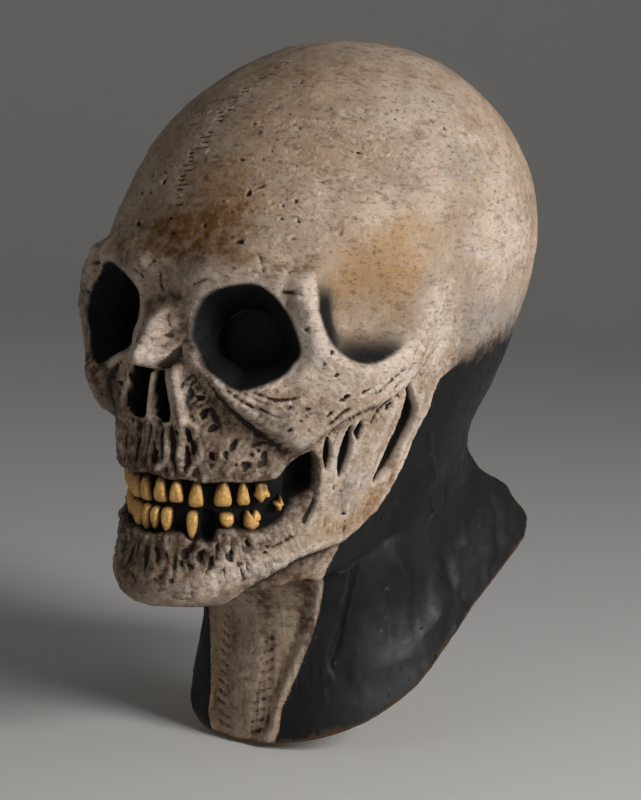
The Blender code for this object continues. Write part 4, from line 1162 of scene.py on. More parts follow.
        limit = (EYE_OPENING_RADIUS + np.where(within > 0.5, EYE_PAINT_SPREAD, 1.0)) * MM
        for start, along in lines:
            away = places - start
            reach = away @ along
            across = np.linalg.norm(away - reach[:, None] * along, axis=1)
            wall |= (across < limit) & (reach > 0) & (reach < 45 * MM)
        for name, painted in (("void", 1.0), ("raw", 0.0)):
            values = np.zeros(len(places), np.float32)
            cut_mesh.attributes[name].data.foreach_get("value", values)
            values[wall] = painted
            cut_mesh.attributes[name].data.foreach_set("value", values)


@dataclass(frozen=True)
class ToothRow:
    """One tooth: its place on the gum and its shape."""

    node: str
    first: float
    last: float
    top: float
    bottom: float
    root_share: float
    crown: Crown = Crown.WHOLE

    @property
    def upper(self) -> bool:
        """Whether it is in the upper jaw."""
        return "upper" in self.node


TEETH = (
    ToothRow("tooth_upper_left_1", 0.7, 4.4, 264.4, 273.4, 0.45),
    ToothRow("tooth_upper_left_2", 4.8, 8.3, 264.4, 273.0, 0.50),
    ToothRow("tooth_upper_left_3", 9.4, 12.9, 264.4, 274.2, 0.40),
    ToothRow("tooth_upper_left_4", 15.0, 19.2, 264.2, 273.7, 0.60),
    ToothRow("tooth_upper_left_5", 20.1, 23.2, 264.4, 273.2, 0.65),
    ToothRow("tooth_upper_left_6", 24.0, 28.2, 264.4, 272.4, 0.65, Crown.BROKEN),
    ToothRow("tooth_upper_left_7", 28.9, 31.8, 270.5, 276.2, 0.35, Crown.STUMP),
    ToothRow("tooth_upper_right_1", -3.7, -0.2, 264.4, 273.8, 0.45),
    ToothRow("tooth_upper_right_2", -8.6, -4.1, 265.0, 273.9, 0.50),
    ToothRow("tooth_upper_right_3", -12.9, -9.4, 264.4, 274.2, 0.40),
    ToothRow("tooth_upper_right_4", -18.2, -14.2, 264.4, 273.7, 0.60),
    ToothRow("tooth_upper_right_5", -23.0, -19.2, 264.4, 273.2, 0.65),
    ToothRow("tooth_upper_right_6", -28.2, -24.0, 264.4, 272.4, 0.65),
    ToothRow("tooth_lower_left_1", 0.1, 2.5, 275.3, 283.0, 0.55),
    ToothRow("tooth_lower_left_2", 2.9, 5.8, 275.3, 283.4, 0.55),
    ToothRow("tooth_lower_left_3", 8.9, 11.6, 276.2, 285.6, 0.50),
    ToothRow("tooth_lower_left_4", 16.2, 19.6, 276.2, 281.6, 0.65),
    ToothRow("tooth_lower_left_5", 21.6, 26.0, 275.6, 282.4, 0.60, Crown.NOTCHED),
    ToothRow("tooth_lower_right_1", -2.8, -0.3, 274.9, 283.6, 0.55),
    ToothRow("tooth_lower_right_2", -6.4, -3.2, 275.3, 283.4, 0.55),
    ToothRow("tooth_lower_right_3", -9.8, -7.0, 275.6, 283.4, 0.55),
    ToothRow("tooth_lower_right_4", -15.2, -12.0, 276.0, 283.0, 0.60),
    ToothRow("tooth_lower_right_5", -20.5, -17.0, 276.0, 281.6, 0.60),
    ToothRow("tooth_lower_right_6", -26.0, -22.0, 276.0, 281.8, 0.60),
)

# A tooth seen from its front: across and up, from -1 to 1, each filling its own box
OUTLINES = {
    (True, Crown.WHOLE): (
        (0, 1), (0.38, 0.84), (0.66, 0.4), (0.88, -0.12), (1, -0.6), (0.82, -0.92), (0, -1), (-0.74, -0.95),
        (-1, -0.64), (-0.9, -0.15), (-0.66, 0.4), (-0.38, 0.84),
    ),
    (False, Crown.WHOLE): (
        (-0.8, 0.88), (0, 1), (0.8, 0.88), (1, 0.5), (0.92, -0.1), (0.58, -0.66), (0, -1), (-0.55, -0.66),
        (-0.9, -0.1), (-1, 0.5),
    ),
    (True, Crown.BROKEN): (
        (-0.43, 0.86), (0.1, 0.95), (0.61, 0.71), (0.77, 0.14), (1, -0.14), (0.94, -0.43), (0.45, -0.43),
        (0.2, -0.71), (-0.1, -0.96), (-0.43, -0.71), (-0.97, -0.29), (-0.76, 0.07), (-0.68, 0.57),
    ),
    (True, Crown.STUMP): (
        (0.38, 0.96), (0.68, 0.46), (1, -0.04), (0.6, -0.34), (0.34, -0.94), (-0.2, -0.74), (-0.36, -0.4),
        (-0.96, 0), (-0.66, 0.26), (-0.06, 0.36),
    ),
    (False, Crown.NOTCHED): (
        (-0.78, 0.88), (-0.44, 0.98), (-0.22, 0.67), (-0.02, 0.67), (0.24, 0.98), (0.69, 0.93), (1, 0.35),
        (0.66, 0.1), (0.8, -0.3), (0.58, -0.65), (-0.1, -1), (-0.78, -0.65), (-0.98, -0.04),
    ),
}


@dataclass
class Tooth:
    """A moulded tooth under gold paint, domed from its outline."""

    skin: LatexSkin
    row: ToothRow
    lean: float
    steps: int = 4
    domes: tuple[float, ...] = (1.0, 0.985, 0.95, 0.88, 0.78, 0.64, 0.48, 0.3, 0.14)
    back: float = -MOUTH_DEPTH - 0.8
    roughness: float = 0.16

    def build(self) -> bpy.types.Object:
        """Loft the tooth from its back to the middle of its front.

        Returns:
            The tooth piece.
        """
        row = self.row
        corners = OUTLINES[(row.upper, row.crown)]
        outline = smooth_line(tuple((x / MM_PER_DEGREE, y) for x, y in corners), True, self.steps)
        root = 1.0 if row.upper else -1.0
        rings = [(0.93, self.back)]
        rings += [(share, TOOTH_FRONT - TOOTH_DEPTH * (1.0 - (1.0 - share ** 4) ** 0.42)) for share in self.domes]
        bm = bmesh.new()
        loops = []
        rootward = []
        edgeward = []
        for share, rise in rings:
            loop = []
            for x, y in outline:
                loop.append(bm.verts.new(self.place(x * share, y * share, rise)))
                rootward.append(y * share * root)
                edgeward.append(share if rise > self.back else 1.0)
            loops.append(loop)
        tip = bm.verts.new(self.place(0.0, 0.0, rings[-1][1] + 0.05))
        end = bm.verts.new(self.place(0.0, 0.0, self.back))
        rootward += [0.0, 0.0]
        edgeward += [0.0, 1.0]
        for low, high in zip(loops[:-1], loops[1:]):
            for k in range(len(low)):
                n = (k + 1) % len(low)
                bm.faces.new((low[k], low[n], high[n], high[k]))
        for k in range(len(outline)):
            n = (k + 1) % len(outline)
            bm.faces.new((loops[-1][k], loops[-1][n], tip))
            bm.faces.new((loops[0][n], loops[0][k], end))
        bmesh.ops.recalc_face_normals(bm, faces=bm.faces)
        mesh = bpy.data.meshes.new("gold_" + row.node)
        bm.to_mesh(mesh)
        bm.free()
        mesh.attributes.new("rootward", "FLOAT", "POINT").data.foreach_set("value", rootward)
        mesh.attributes.new("edgeward", "FLOAT", "POINT").data.foreach_set("value", edgeward)
        mesh.shade_smooth()
        tooth = bpy.data.objects.new("gold_" + row.node, mesh)
        bpy.context.scene.collection.objects.link(tooth)
        return tooth

    def place(self, x: float, y: float, rise: float) -> Vector:
        """A place on the tooth in space.

        Args:
            x: across the tooth, from -1 to 1.
            y: up the tooth, from -1 to 1.
            rise: the height over the plain form.

        Returns:
            The place in metres.
        """
        row = self.row
        middle, half = (row.first + row.last) / 2, (row.last - row.first) / 2 * TOOTH_FULLNESS[0]
        level, tall = (row.top + row.bottom) / 2, (row.bottom - row.top) / 2 * TOOTH_FULLNESS[1]
        level += 0.0 if row.upper else LOWER_TOOTH_DROP
        x += self.lean * y
        spot = Vector((x * half * MM_PER_DEGREE, y * tall, middle)) / TOOTH_LUMP
        rise += self.roughness * 2.2 * noise.noise(spot) + self.roughness * noise.noise(spot * 3.1)
        rise += 0.5 * (1.0 - y * y)
        rise -= FAR_TEETH_SINK if row.last < FAR_TEETH_FROM else 0.0
        return self.skin.point(middle + x * half, level - y * tall, rise) * MM


@dataclass
class EyeMesh:
    """A woven black panel glued behind an eye opening."""

    skin: LatexSkin
    side: int
    level: float = -SOCKET_DEPTH - WALL - MESH_GAP

    def build(self) -> bpy.types.Object:
        """Lay a round of cloth along the inner skin.

        Returns:
            The cloth piece.
        """
        bm = bmesh.new()
        bmesh.ops.create_circle(bm, cap_ends=True, cap_tris=True, segments=48, radius=EYE_MESH_RADIUS)
        for vert in bm.verts:
            degrees = self.side * (EYE_ANGLE + vert.co.x * EYE_MESH_STRETCH / MM_PER_DEGREE)
            vert.co = self.skin.point(degrees, EYE_DOWN - vert.co.y, self.level) * MM
        word = "left" if self.side > 0 else "right"
        mesh = bpy.data.meshes.new("eye_cloth_" + word)
        bm.to_mesh(mesh)
        bm.free()
        panel = bpy.data.objects.new("eye_cloth_" + word, mesh)
        bpy.context.scene.collection.objects.link(panel)
        return panel


class Web:
    """Shorthand for wiring shader nodes in one tree."""

    def __init__(self, tree: bpy.types.NodeTree) -> None:
        """Keep the tree that the nodes go in."""
        self.tree = tree

    def node(self, kind: str, **settings: object) -> bpy.types.Node:
        """Add a node with its settings."""
        node = self.tree.nodes.new(kind)
        for name, value in settings.items():
            setattr(node, name, value)
        return node

    def put(self, socket: bpy.types.NodeSocket, value: object) -> None:
        """Link a socket to another, or give it a plain value."""
        if isinstance(value, bpy.types.NodeSocket):
            self.tree.links.new(value, socket)
        elif isinstance(value, tuple) and len(value) == 3 and socket.type == "RGBA":
            socket.default_value = (*value, 1.0)
        else:
            socket.default_value = value

    def math(self, operation: str, a: object, b: object = 0.0, clamp: bool = False) -> bpy.types.NodeSocket:
        """One sum of two values."""
        node = self.node("ShaderNodeMath", operation=operation, use_clamp=clamp)
        self.put(node.inputs[0], a)
        self.put(node.inputs[1], b)
        return node.outputs[0]

    def mix(self, share: object, a: object, b: object, mode: str = "MIX") -> bpy.types.NodeSocket:
        """Two colours mixed by a share."""
        node = self.node("ShaderNodeMix", data_type="RGBA", blend_type=mode)
        self.put(node.inputs["Factor"], share)
        self.put(node.inputs[6], a)
        self.put(node.inputs[7], b)
        return node.outputs[2]

    def span(self, value: object, low: float, high: float, start: float = 0.0, end: float = 1.0) -> bpy.types.NodeSocket:
        """A value spread from low..high to start..end, and held there."""
        node = self.node("ShaderNodeMapRange", interpolation_type="SMOOTHSTEP")
        for name, number in (("Value", value), ("From Min", low), ("From Max", high), ("To Min", start), ("To Max", end)):
            self.put(node.inputs[name], number)
        return node.outputs[0]

    def noise(self, place: object, scale: object, detail: float = 4.0, rough: float = 0.55) -> bpy.types.NodeSocket:
        """Cloudy noise at a scale."""
        node = self.node("ShaderNodeTexNoise")
        for name, value in (("Vector", place), ("Scale", scale), ("Detail", detail), ("Roughness", rough)):
            self.put(node.inputs[name], value)
        return node.outputs[0]

    def place(self, stretch: tuple[float, float, float] = (1.0, 1.0, 1.0)) -> bpy.types.NodeSocket:
        """Where a point is on the piece, stretched along the axes."""
        where = self.node("ShaderNodeTexCoord").outputs["Object"]
        if stretch == (1.0, 1.0, 1.0):
            return where
        node = self.node("ShaderNodeVectorMath", operation="MULTIPLY")
        self.put(node.inputs[0], where)
        node.inputs[1].default_value = stretch
        return node.outputs[0]

    def mark(self, name: str) -> bpy.types.NodeSocket:
        """A number kept on the mesh's points."""
        return self.node("ShaderNodeAttribute", attribute_name=name).outputs["Fac"]

    def group(self, tree: bpy.types.NodeTree, **values: object) -> bpy.types.Node:
        """Place a shared effect with its own values."""
        node = self.node("ShaderNodeGroup", node_tree=tree)
        for name, value in values.items():
            self.put(node.inputs[name.replace("_", " ")], value)
        return node


@dataclass
class Effects:
    """The effects that several finishes share, each made once as a node group."""

    made: dict[str, bpy.types.NodeTree] = field(default_factory=dict)

    def start(self, name: str, inputs: tuple[tuple[str, str, object], ...], outputs: tuple[tuple[str, str], ...]) -> Web:
        """Begin a group with named sockets.

        Args:
            name: the group's name.
            inputs: each input's name, kind and first value.
            outputs: each output's name and kind.

        Returns:
            The group's tree, ready for wiring.
        """
        tree = bpy.data.node_groups.new(name, "ShaderNodeTree")
        for label, kind, value in inputs:
            socket = tree.interface.new_socket(label, in_out="INPUT", socket_type="NodeSocket" + kind)
            socket.default_value = value
        for label, kind in outputs:
            tree.interface.new_socket(label, in_out="OUTPUT", socket_type="NodeSocket" + kind)
        self.made[name] = tree
        return Web(tree)

    def build(self) -> None:
        """Make every shared effect."""
        self.build_mottle()
        self.build_stain()
        self.build_wash_and_shade()
        self.build_dry_brush_and_highlight()
        self.build_pores()

    def build_mottle(self) -> None:
        """Cloudy patches and fine specks at a chosen scale."""
        web = self.start("mottle", (("Scale", "Float", 60.0),), (("Patches", "Float"), ("Clouds", "Float"), ("Specks", "Float")))
        scale = web.node("NodeGroupInput").outputs[0]
        end = web.node("NodeGroupOutput")
        place = web.place()
        web.put(end.inputs["Patches"], web.span(web.noise(place, scale, 5.0, 0.62), 0.36, 0.66))
        web.put(end.inputs["Clouds"], web.span(web.noise(place, web.math("MULTIPLY", scale, 5.3), 5.0, 0.7), 0.34, 0.68))
        web.put(end.inputs["Specks"], web.span(web.noise(place, web.math("MULTIPLY", scale, 22.0), 3.0, 0.6), 0.6, 0.72))

    def build_stain(self) -> None:
        """A paint laid through a mask, broken up by clouds."""
        black = (0.0, 0.0, 0.0, 1.0)
        web = self.start(
            "stain",
            (("Colour", "Color", black), ("Paint", "Color", black), ("Mask", "Float", 0.0), ("Clouds", "Float", 0.5),
             ("Breakup", "Float", 0.5), ("Strength", "Float", 1.0)),
            (("Colour", "Color"),),
        )
        start = web.node("NodeGroupInput").outputs
        end = web.node("NodeGroupOutput")
        broken = web.math("MULTIPLY", web.math("SUBTRACT", start["Clouds"], 0.5), start["Breakup"])
        lifted = web.math("ADD", start["Mask"], web.math("MULTIPLY", broken, web.span(start["Mask"], 0.02, 0.3)))
        share = web.math("MULTIPLY", lifted, start["Strength"], True)
        web.put(end.inputs["Colour"], web.mix(share, start["Colour"], start["Paint"]))

    def build_wash_and_shade(self) -> None:
        """Dark paint and painted shade laid in crevices, hollows and pits."""
        black = (0.0, 0.0, 0.0, 1.0)
        web = self.start(
            "wash_and_shade",
            (("Colour", "Color", black), ("Wash", "Color", black), ("Crevice", "Float", 0.0), ("Hollow", "Float", 0.0),
             ("Clouds", "Float", 0.5), ("Strength", "Float", 1.0)),
            (("Colour", "Color"), ("Mask", "Float")),
        )
        start = web.node("NodeGroupInput").outputs
        end = web.node("NodeGroupOutput")
        total = web.math("ADD", web.math("MULTIPLY", start["Crevice"], 0.75), web.math("MULTIPLY", start["Hollow"], 0.55))
        total = web.math("ADD", total, web.math("MULTIPLY", web.math("SUBTRACT", start["Clouds"], 0.5), 0.3))
        mask = web.math("MULTIPLY", web.span(total, 0.05, 0.95), start["Strength"], True)
        web.put(end.inputs["Colour"], web.mix(mask, start["Colour"], start["Wash"]))
        web.put(end.inputs["Mask"], mask)

    def build_dry_brush_and_highlight(self) -> None:
        """Pale paint dragged over what stands proud, and painted highlights there."""
        black = (0.0, 0.0, 0.0, 1.0)
        web = self.start(
            "dry_brush_and_highlight",
            (("Colour", "Color", black), ("Paint", "Color", black), ("Crevice", "Float", 0.0), ("Hollow", "Float", 0.0),
             ("Clouds", "Float", 0.5), ("Strength", "Float", 1.0)),
            (("Colour", "Color"),),
        )
        start = web.node("NodeGroupInput").outputs
        end = web.node("NodeGroupOutput")
        total = web.math("ADD", web.math("MULTIPLY", start["Crevice"], -0.9), web.math("MULTIPLY", start["Hollow"], -0.5))
        total = web.math("ADD", total, web.math("MULTIPLY", web.math("SUBTRACT", start["Clouds"], 0.5), 0.6))
        share = web.math("MULTIPLY", web.span(total, 0.02, 0.8), start["Strength"], True)
        web.put(end.inputs["Colour"], web.mix(share, start["Colour"], start["Paint"]))

    def build_pores(self) -> None:
        """The height of a cast, brushed surface: grain with small pores."""
        web = self.start("pores", (("Scale", "Float", 600.0), ("Pores", "Float", 0.5)), (("Height", "Float"),))
        start = web.node("NodeGroupInput").outputs
        end = web.node("NodeGroupOutput")
        place = web.place()
        grain = web.noise(place, start["Scale"], 6.0, 0.65)
        cells = web.node("ShaderNodeTexVoronoi")
        web.put(cells.inputs["Vector"], place)
        web.put(cells.inputs["Scale"], web.math("MULTIPLY", start["Scale"], 0.8))
        holes = web.span(cells.outputs["Distance"], 0.05, 0.3, -1.0, 0.0)
        web.put(end.inputs["Height"], web.math("ADD", grain, web.math("MULTIPLY", holes, start["Pores"])))


@dataclass(frozen=True)
class PaintedLatex:
    """Aged bone paint over latex, a black neck and bare latex inside, with painted shade in the hollows and on the far
    side of the face, painted highlights on what stands proud, and a painted sheen on the neck.
    """

    bone: Colour = (0.33, 0.228, 0.15)
    pale: Colour = (0.50, 0.385, 0.285)
    # pale paint of the painted highlights and of the raised parts
    light: Colour = (0.72, 0.61, 0.52)
    ochre: Colour = (0.36, 0.20, 0.075)
    rust: Colour = (0.17, 0.068, 0.014)
    # brown of the stains, flecks and scratches, and of the painted shade
    umber_and_shade: Colour = (0.085, 0.048, 0.027)
    grey: Colour = (0.225, 0.205, 0.20)
    # dark paint of the crevices and specks, also the colour of the painted shade there
    dark_wash_and_shade: Colour = (0.02, 0.012, 0.008)
    # black of the openings, also used for the painted shade at the temple hollows
    hollow: Colour = (0.0012, 0.0011, 0.0011)
    black: Colour = (0.0028, 0.0028, 0.0031)
    scuff: Colour = (0.012, 0.012, 0.0125)
    # grey of the painted sheen on the black neck
    painted_sheen: Colour = (0.045, 0.044, 0.045)
    bare: Colour = (0.5, 0.36, 0.22)
    hem: Colour = (0.10, 0.055, 0.03)

    def build(self, effects: dict[str, bpy.types.NodeTree]) -> bpy.types.Material:
        """Wire the finish.

        Args:
            effects: the shared node groups.

        Returns:
            The material.
        """
        material = bpy.data.materials.new("painted_latex")
        material.use_nodes = True
        web = Web(material.node_tree)
        shader = material.node_tree.nodes["Principled BSDF"]
        mottle = web.group(effects["mottle"], Scale=38.0).outputs
        fine, broad, deep = web.mark("fine"), web.mark("broad"), web.mark("deep")
        colour = web.mix(mottle["Patches"], self.bone, self.pale)
        streaks = web.span(web.noise(web.place((1.0, 1.0, 0.35)), 330.0, 5.0, 0.65), 0.38, 0.66)
        colour = web.mix(web.math("MULTIPLY", streaks, 0.35), colour, self.pale)
        brushed = False
        # Stains in layers; the brown layer also lays painted shade, the pale layer painted highlights.
        for paint, breakup, strength in (
            (Paint.GREY, 0.9, 0.7), (Paint.OCHRE, 0.8, 0.75), (Paint.PAINTED_HIGHLIGHT, 0.8, 0.6), (Paint.RUST, 0.7, 0.85), (Paint.UMBER_AND_SHADE, 0.8, 0.85),
        ):
            # Pale paint and painted highlights on what stands proud.
            if paint is Paint.RUST:
                colour = web.group(
                    effects["dry_brush_and_highlight"], Colour=colour, Paint=self.light, Crevice=fine, Hollow=broad,
                    Clouds=mottle["Clouds"], Strength=0.5,
                ).outputs[0]
            colour = web.group(
                effects["stain"], Colour=colour, Paint=getattr(self, paint.value), Mask=web.mark(paint.value),
                Clouds=mottle["Clouds"], Breakup=breakup, Strength=strength,
            ).outputs[0]
        flecks = web.span(web.noise(web.place((0.7, 0.7, 1.25)), 520.0, 4.0, 0.62), 0.53, 0.67)
        colour = web.mix(web.math("MULTIPLY", flecks, 0.5), colour, self.umber_and_shade)
        scratches = web.span(web.noise(web.place((0.45, 0.45, 1.3)), 240.0, 5.0, 0.7), 0.55, 0.66)
        colour = web.mix(web.math("MULTIPLY", scratches, 0.45), colour, self.umber_and_shade)
        # Painted shade and brown paint in the broad deep hollows.
        under = web.span(deep, 0.15, 1.6, 0.0, 0.5)
        colour = web.mix(under, colour, self.umber_and_shade)
        # Dark paint and painted shade in the crevices and hollows.
        wash_and_shade = web.group(
            effects["wash_and_shade"], Colour=colour, Wash=self.dark_wash_and_shade, Crevice=fine, Hollow=broad, Clouds=mottle["Clouds"], Strength=0.97,
        ).outputs
        colour = web.mix(web.math("MULTIPLY", mottle["Specks"], 0.35), wash_and_shade["Colour"], self.dark_wash_and_shade)
        # Black paint in the openings, and painted shade along the temple hollows' front and lower edges.
        void = web.span(web.mark("void"), 0.05, 0.8)
        colour = web.mix(void, colour, self.hollow)
        scuffed = web.math("MULTIPLY", web.span(fine, -0.05, -0.6), 0.8)
        neck = web.mix(web.math("ADD", scuffed, web.math("MULTIPLY", mottle["Patches"], 0.25), True), self.black, self.scuff)
        # Painted sheen: grey patches laid over the black neck.
        neck = web.mix(web.math("MULTIPLY", web.mark("painted_sheen"), web.span(mottle["Clouds"], 0.0, 1.0, 0.5, 1.0)), neck, self.painted_sheen)
        black = web.mark("black")
        edge = web.math("ADD", black, web.math("MULTIPLY", web.math("SUBTRACT", mottle["Clouds"], 0.5), 0.25))
        black = web.math("MULTIPLY", web.span(edge, 0.1, 0.9), web.span(black, 0.0, 0.06))
        colour = web.mix(black, colour, neck)
        colour = web.mix(web.mark("rim"), colour, self.hem)
        raw = web.mark("raw")
        bare = web.mix(web.math("MULTIPLY", mottle["Clouds"], 0.4), self.bare, self.bone)
        colour = web.mix(raw, colour, bare)
        web.put(shader.inputs["Base Color"], colour)
        rough = web.math("ADD", 0.5, web.math("MULTIPLY", mottle["Clouds"], 0.16))
        rough = web.math("ADD", rough, web.math("MULTIPLY", wash_and_shade["Mask"], 0.14))
        rough = web.math("SUBTRACT", rough, web.math("MULTIPLY", black, 0.04))
        web.put(shader.inputs["Roughness"], web.math("ADD", rough, web.math("MULTIPLY", void, 0.25), True))
        shader.inputs["Specular IOR Level"].default_value = 0.3
        pores = web.group(effects["pores"], Scale=900.0, Pores=0.5).outputs[0]
        coarse = web.group(effects["pores"], Scale=330.0, Pores=0.25).outputs[0]
        soft = web.math("SUBTRACT", 1.0, web.math("MULTIPLY", black, 0.6))
        height = web.math("MULTIPLY", web.math("ADD", pores, web.math("MULTIPLY", coarse, 1.6)), soft)
        bump = web.node("ShaderNodeBump")
        bump.inputs["Distance"].default_value = 0.00022
        bump.inputs["Strength"].default_value = 0.75
        web.put(bump.inputs["Height"], height)
        web.put(shader.inputs["Normal"], bump.outputs[0])
        return material


@dataclass(frozen=True)
class GoldPaint:
    """Satin gold paint, worn dark towards the gum."""

    gold: Colour = (0.54, 0.27, 0.06)
    bright: Colour = (0.82, 0.52, 0.18)
    stained: Colour = (0.16, 0.075, 0.02)
    root: Colour = (0.012, 0.008, 0.005)

    def build(self, effects: dict[str, bpy.types.NodeTree]) -> bpy.types.Material:
        """Wire the finish.

        Args:
            effects: the shared node groups.

        Returns:
            The material.
        """
        material = bpy.data.materials.new("gold_paint")
        material.use_nodes = True
        web = Web(material.node_tree)
        shader = material.node_tree.nodes["Principled BSDF"]
        mottle = web.group(effects["mottle"], Scale=160.0).outputs
        rootward = web.mark("rootward")
        colour = web.mix(mottle["Clouds"], self.gold, self.bright)
        uneven = web.math("ADD", rootward, web.math("MULTIPLY", web.math("SUBTRACT", mottle["Patches"], 0.5), 0.5))
        edge = web.mark("edgeward")
        stained = web.math("MAXIMUM", web.span(uneven, 0.1, 0.85), web.span(edge, 0.8, 0.98))
        colour = web.mix(stained, colour, self.stained)
        dark = web.math("MAXIMUM", web.span(uneven, 0.55, 1.0), web.span(edge, 0.93, 0.998))
        wash_and_shade = web.group(
            effects["wash_and_shade"], Colour=colour, Wash=self.root, Crevice=web.math("MULTIPLY", mottle["Specks"], 0.5), Hollow=dark,
            Clouds=mottle["Clouds"], Strength=0.95,
        ).outputs
        web.put(shader.inputs["Base Color"], web.mix(dark, wash_and_shade["Colour"], self.root))
        metal = web.math("MULTIPLY", web.math("SUBTRACT", 1.0, stained), 0.25, True)
        web.put(shader.inputs["Metallic"], metal)
        web.put(shader.inputs["Roughness"], web.math("ADD", 0.42, web.math("MULTIPLY", mottle["Clouds"], 0.2)))
        bump = web.node("ShaderNodeBump")
        bump.inputs["Distance"].default_value = 0.0002
        bump.inputs["Strength"].default_value = 0.6
        web.put(bump.inputs["Height"], web.group(effects["pores"], Scale=1500.0, Pores=0.3).outputs[0])
        web.put(shader.inputs["Normal"], bump.outputs[0])
        return material


@dataclass(frozen=True)
class BlackWeave:
    """Fine black see-through cloth, seen as threads over and under."""

    thread: Colour = (0.012, 0.012, 0.013)
    gap: Colour = (0.002, 0.002, 0.002)
    threads_per_metre: float = 900.0

    def build(self, effects: dict[str, bpy.types.NodeTree]) -> bpy.types.Material:
        """Wire the finish.

        Args:
            effects: the shared node groups.

        Returns:
            The material.
        """
        material = bpy.data.materials.new("black_weave")
        material.use_nodes = True
        web = Web(material.node_tree)
        shader = material.node_tree.nodes["Principled BSDF"]
        waves = []
        for axis in ("X", "Z"):
            wave = web.node("ShaderNodeTexWave", wave_type="BANDS", bands_direction=axis, wave_profile="SIN")
            web.put(wave.inputs["Vector"], web.place())
            wave.inputs["Scale"].default_value = self.threads_per_metre / 3.0
            waves.append(wave.outputs["Fac"])
        weave = web.math("MAXIMUM", waves[0], waves[1])
        colour = web.mix(web.span(weave, 0.45, 0.85), self.gap, self.thread)
        mottle = web.group(effects["mottle"], Scale=200.0).outputs
        dusty = web.group(
            effects["stain"], Colour=colour, Paint=(0.03, 0.028, 0.026), Mask=0.25, Clouds=mottle["Clouds"], Breakup=1.0,
            Strength=0.5,
        ).outputs[0]
        web.put(shader.inputs["Base Color"], dusty)
        web.put(shader.inputs["Roughness"], web.math("ADD", 0.75, web.math("MULTIPLY", mottle["Clouds"], 0.15)))
        bump = web.node("ShaderNodeBump")
        bump.inputs["Distance"].default_value = 0.00015
        web.put(bump.inputs["Height"], weave)
        web.put(shader.inputs["Normal"], bump.outputs[0])
        return material


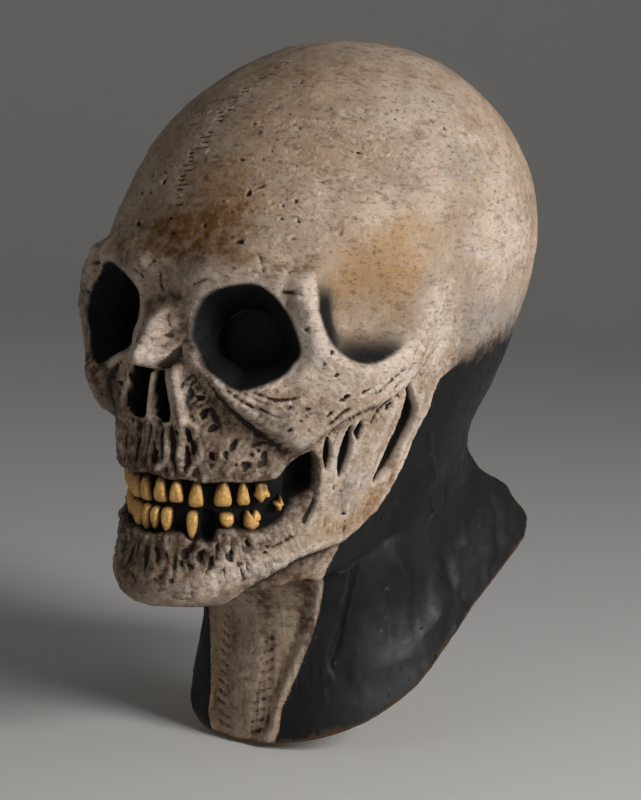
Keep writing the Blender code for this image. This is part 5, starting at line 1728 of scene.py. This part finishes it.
@dataclass
class Stage:
    """Camera, floor, world and lights."""

    azimuth: float = 37.0
    elevation: float = 8.0
    lean: float = 4.5
    distance: float = 1.6
    target: tuple[float, float, float] = (0.0, -0.026, -0.1742)
    pixels_per_mm: float = 2.06
    target_pixel: tuple[float, float] = (300.0, 406.0)
    frame_size: tuple[int, int] = (641, 800)
    sensor: float = 36.0
    floor_level: float = -0.337
    floor_radius: float = 3.2
    cove_radius: float = 1.4
    wall_top: float = 3.0

    def build(self) -> None:
        """Set up everything that isn't the mask."""
        scene = bpy.context.scene
        scene.view_settings.view_transform = "Standard"
        self.place_camera(scene)
        self.lay_floor(scene)
        self.light(scene)

    def place_camera(self, scene: bpy.types.Scene) -> None:
        """Stand the camera where the photograph was taken from."""
        a, e, r = (math.radians(v) for v in (self.azimuth, self.elevation, self.lean))
        back = Vector((math.sin(a) * math.cos(e), -math.cos(a) * math.cos(e), math.sin(e)))
        right = Vector((0, 0, 1)).cross(back).normalized()
        up = back.cross(right)
        turned_right = math.cos(r) * right + math.sin(r) * up
        turned_up = -math.sin(r) * right + math.cos(r) * up
        place = Vector(self.target) + back * self.distance
        width, height = self.frame_size
        data = bpy.data.cameras.new("camera")
        data.sensor_fit = "VERTICAL"
        data.sensor_height = self.sensor
        data.lens = self.pixels_per_mm * self.distance * 1000 * self.sensor / height
        data.shift_x = (width / 2 - self.target_pixel[0]) / height
        data.shift_y = (self.target_pixel[1] - height / 2) / height
        data.clip_end = 20.0
        camera = bpy.data.objects.new("camera", data)
        turn = Matrix((turned_right, turned_up, back)).transposed().to_4x4()
        camera.matrix_world = Matrix.Translation(place) @ turn
        scene.collection.objects.link(camera)
        scene.camera = camera

    def lay_floor(self, scene: bpy.types.Scene) -> None:
        """A pale floor that turns up into a wall all round, far from the mask."""
        profile = [(0.0, 0.0), (self.floor_radius - self.cove_radius, 0.0)]
        for k in range(1, 13):
            turn = math.radians(90.0 * k / 12)
            profile.append((self.floor_radius - self.cove_radius * (1 - math.sin(turn)), self.cove_radius * (1 - math.cos(turn))))
        profile.append((self.floor_radius, self.wall_top))
        bm = bmesh.new()
        verts = [bm.verts.new((x, 0.0, z)) for x, z in profile]
        edges = [bm.edges.new(pair) for pair in zip(verts[:-1], verts[1:])]
        bmesh.ops.spin(bm, geom=verts + edges, axis=(0, 0, 1), cent=(0, 0, 0), angle=math.tau, steps=96)
        bmesh.ops.remove_doubles(bm, verts=bm.verts, dist=0.0001)
        mesh = bpy.data.meshes.new("floor")
        bm.to_mesh(mesh)
        bm.free()
        mesh.shade_smooth()
        floor = bpy.data.objects.new("floor", mesh)
        floor.location.z = self.floor_level
        material = bpy.data.materials.new("pale_floor")
        material.use_nodes = True
        shader = material.node_tree.nodes["Principled BSDF"]
        shader.inputs["Base Color"].default_value = (0.62, 0.61, 0.59, 1)
        shader.inputs["Roughness"].default_value = 0.9
        mesh.materials.append(material)
        scene.collection.objects.link(floor)

    def light(self, scene: bpy.types.Scene) -> None:
        """A soft key from the right, a weak fill and a rim."""
        world = bpy.data.worlds.new("world")
        world.use_nodes = True
        world.node_tree.nodes["Background"].inputs["Color"].default_value = (1.0, 0.97, 0.94, 1)
        world.node_tree.nodes["Background"].inputs["Strength"].default_value = 0.09
        scene.world = world
        middle = Vector(self.target)
        for name, azimuth, elevation, far, size, power in (
            ("key", 90, 24, 1.4, 0.7, 18.5),
            ("fill", 8, 30, 2.2, 1.2, 2.4),
            ("rim", 150, 30, 1.6, 0.6, 1.2),
        ):
            a, e = math.radians(azimuth), math.radians(elevation)
            away = Vector((math.sin(a) * math.cos(e), -math.cos(a) * math.cos(e), math.sin(e)))
            data = bpy.data.lights.new(name, "AREA")
            data.shape = "DISK"
            data.size = size
            data.energy = power
            lamp = bpy.data.objects.new(name, data)
            lamp.location = middle + away * far
            lamp.rotation_euler = away.to_track_quat("Z", "Y").to_euler()
            lamp.visible_camera = False
            scene.collection.objects.link(lamp)


def settle(piece: bpy.types.Object, material: bpy.types.Material, node: str) -> None:
    """Dress a piece and fix it to the body, in place of its node and with its slot's finish.

    Args:
        piece: the piece.
        material: its finish.
        node: the node that it stands for.
    """
    piece.data.materials.clear()
    piece.data.materials.append(material)
    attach(piece, "root")
    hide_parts(node)
    LOG.info("%s: %d faces", piece.name, len(piece.data.polygons))


def main() -> None:
    """Build the mask's pieces in order."""
    logging.basicConfig(level=logging.INFO, format="%(name)s: %(message)s")
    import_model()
    Stage().build()
    effects = Effects()
    effects.build()
    latex = PaintedLatex().build(effects.made)
    gold = GoldPaint().build(effects.made)
    weave = BlackWeave().build(effects.made)
    skin = LatexSkin()
    skin.shape_bones()
    skin.roughen()
    skin.carve()
    skin.raise_lips()
    skin.hollows()
    skin.paint()
    shell = LatexShell(skin).build()
    settle(shell, latex, "latex_shell")
    leans = np.random.default_rng(LEAN_SEED).uniform(-TOOTH_LEAN, TOOTH_LEAN, len(TEETH))
    for row, lean in zip(TEETH, leans):
        settle(Tooth(skin, row, float(lean)).build(), gold, row.node)
    for side, word in ((1, "left"), (-1, "right")):
        panel = EyeMesh(skin, side).build()
        settle(panel, weave, "eye_mesh_" + word)


if __name__ == "__main__":
    main()
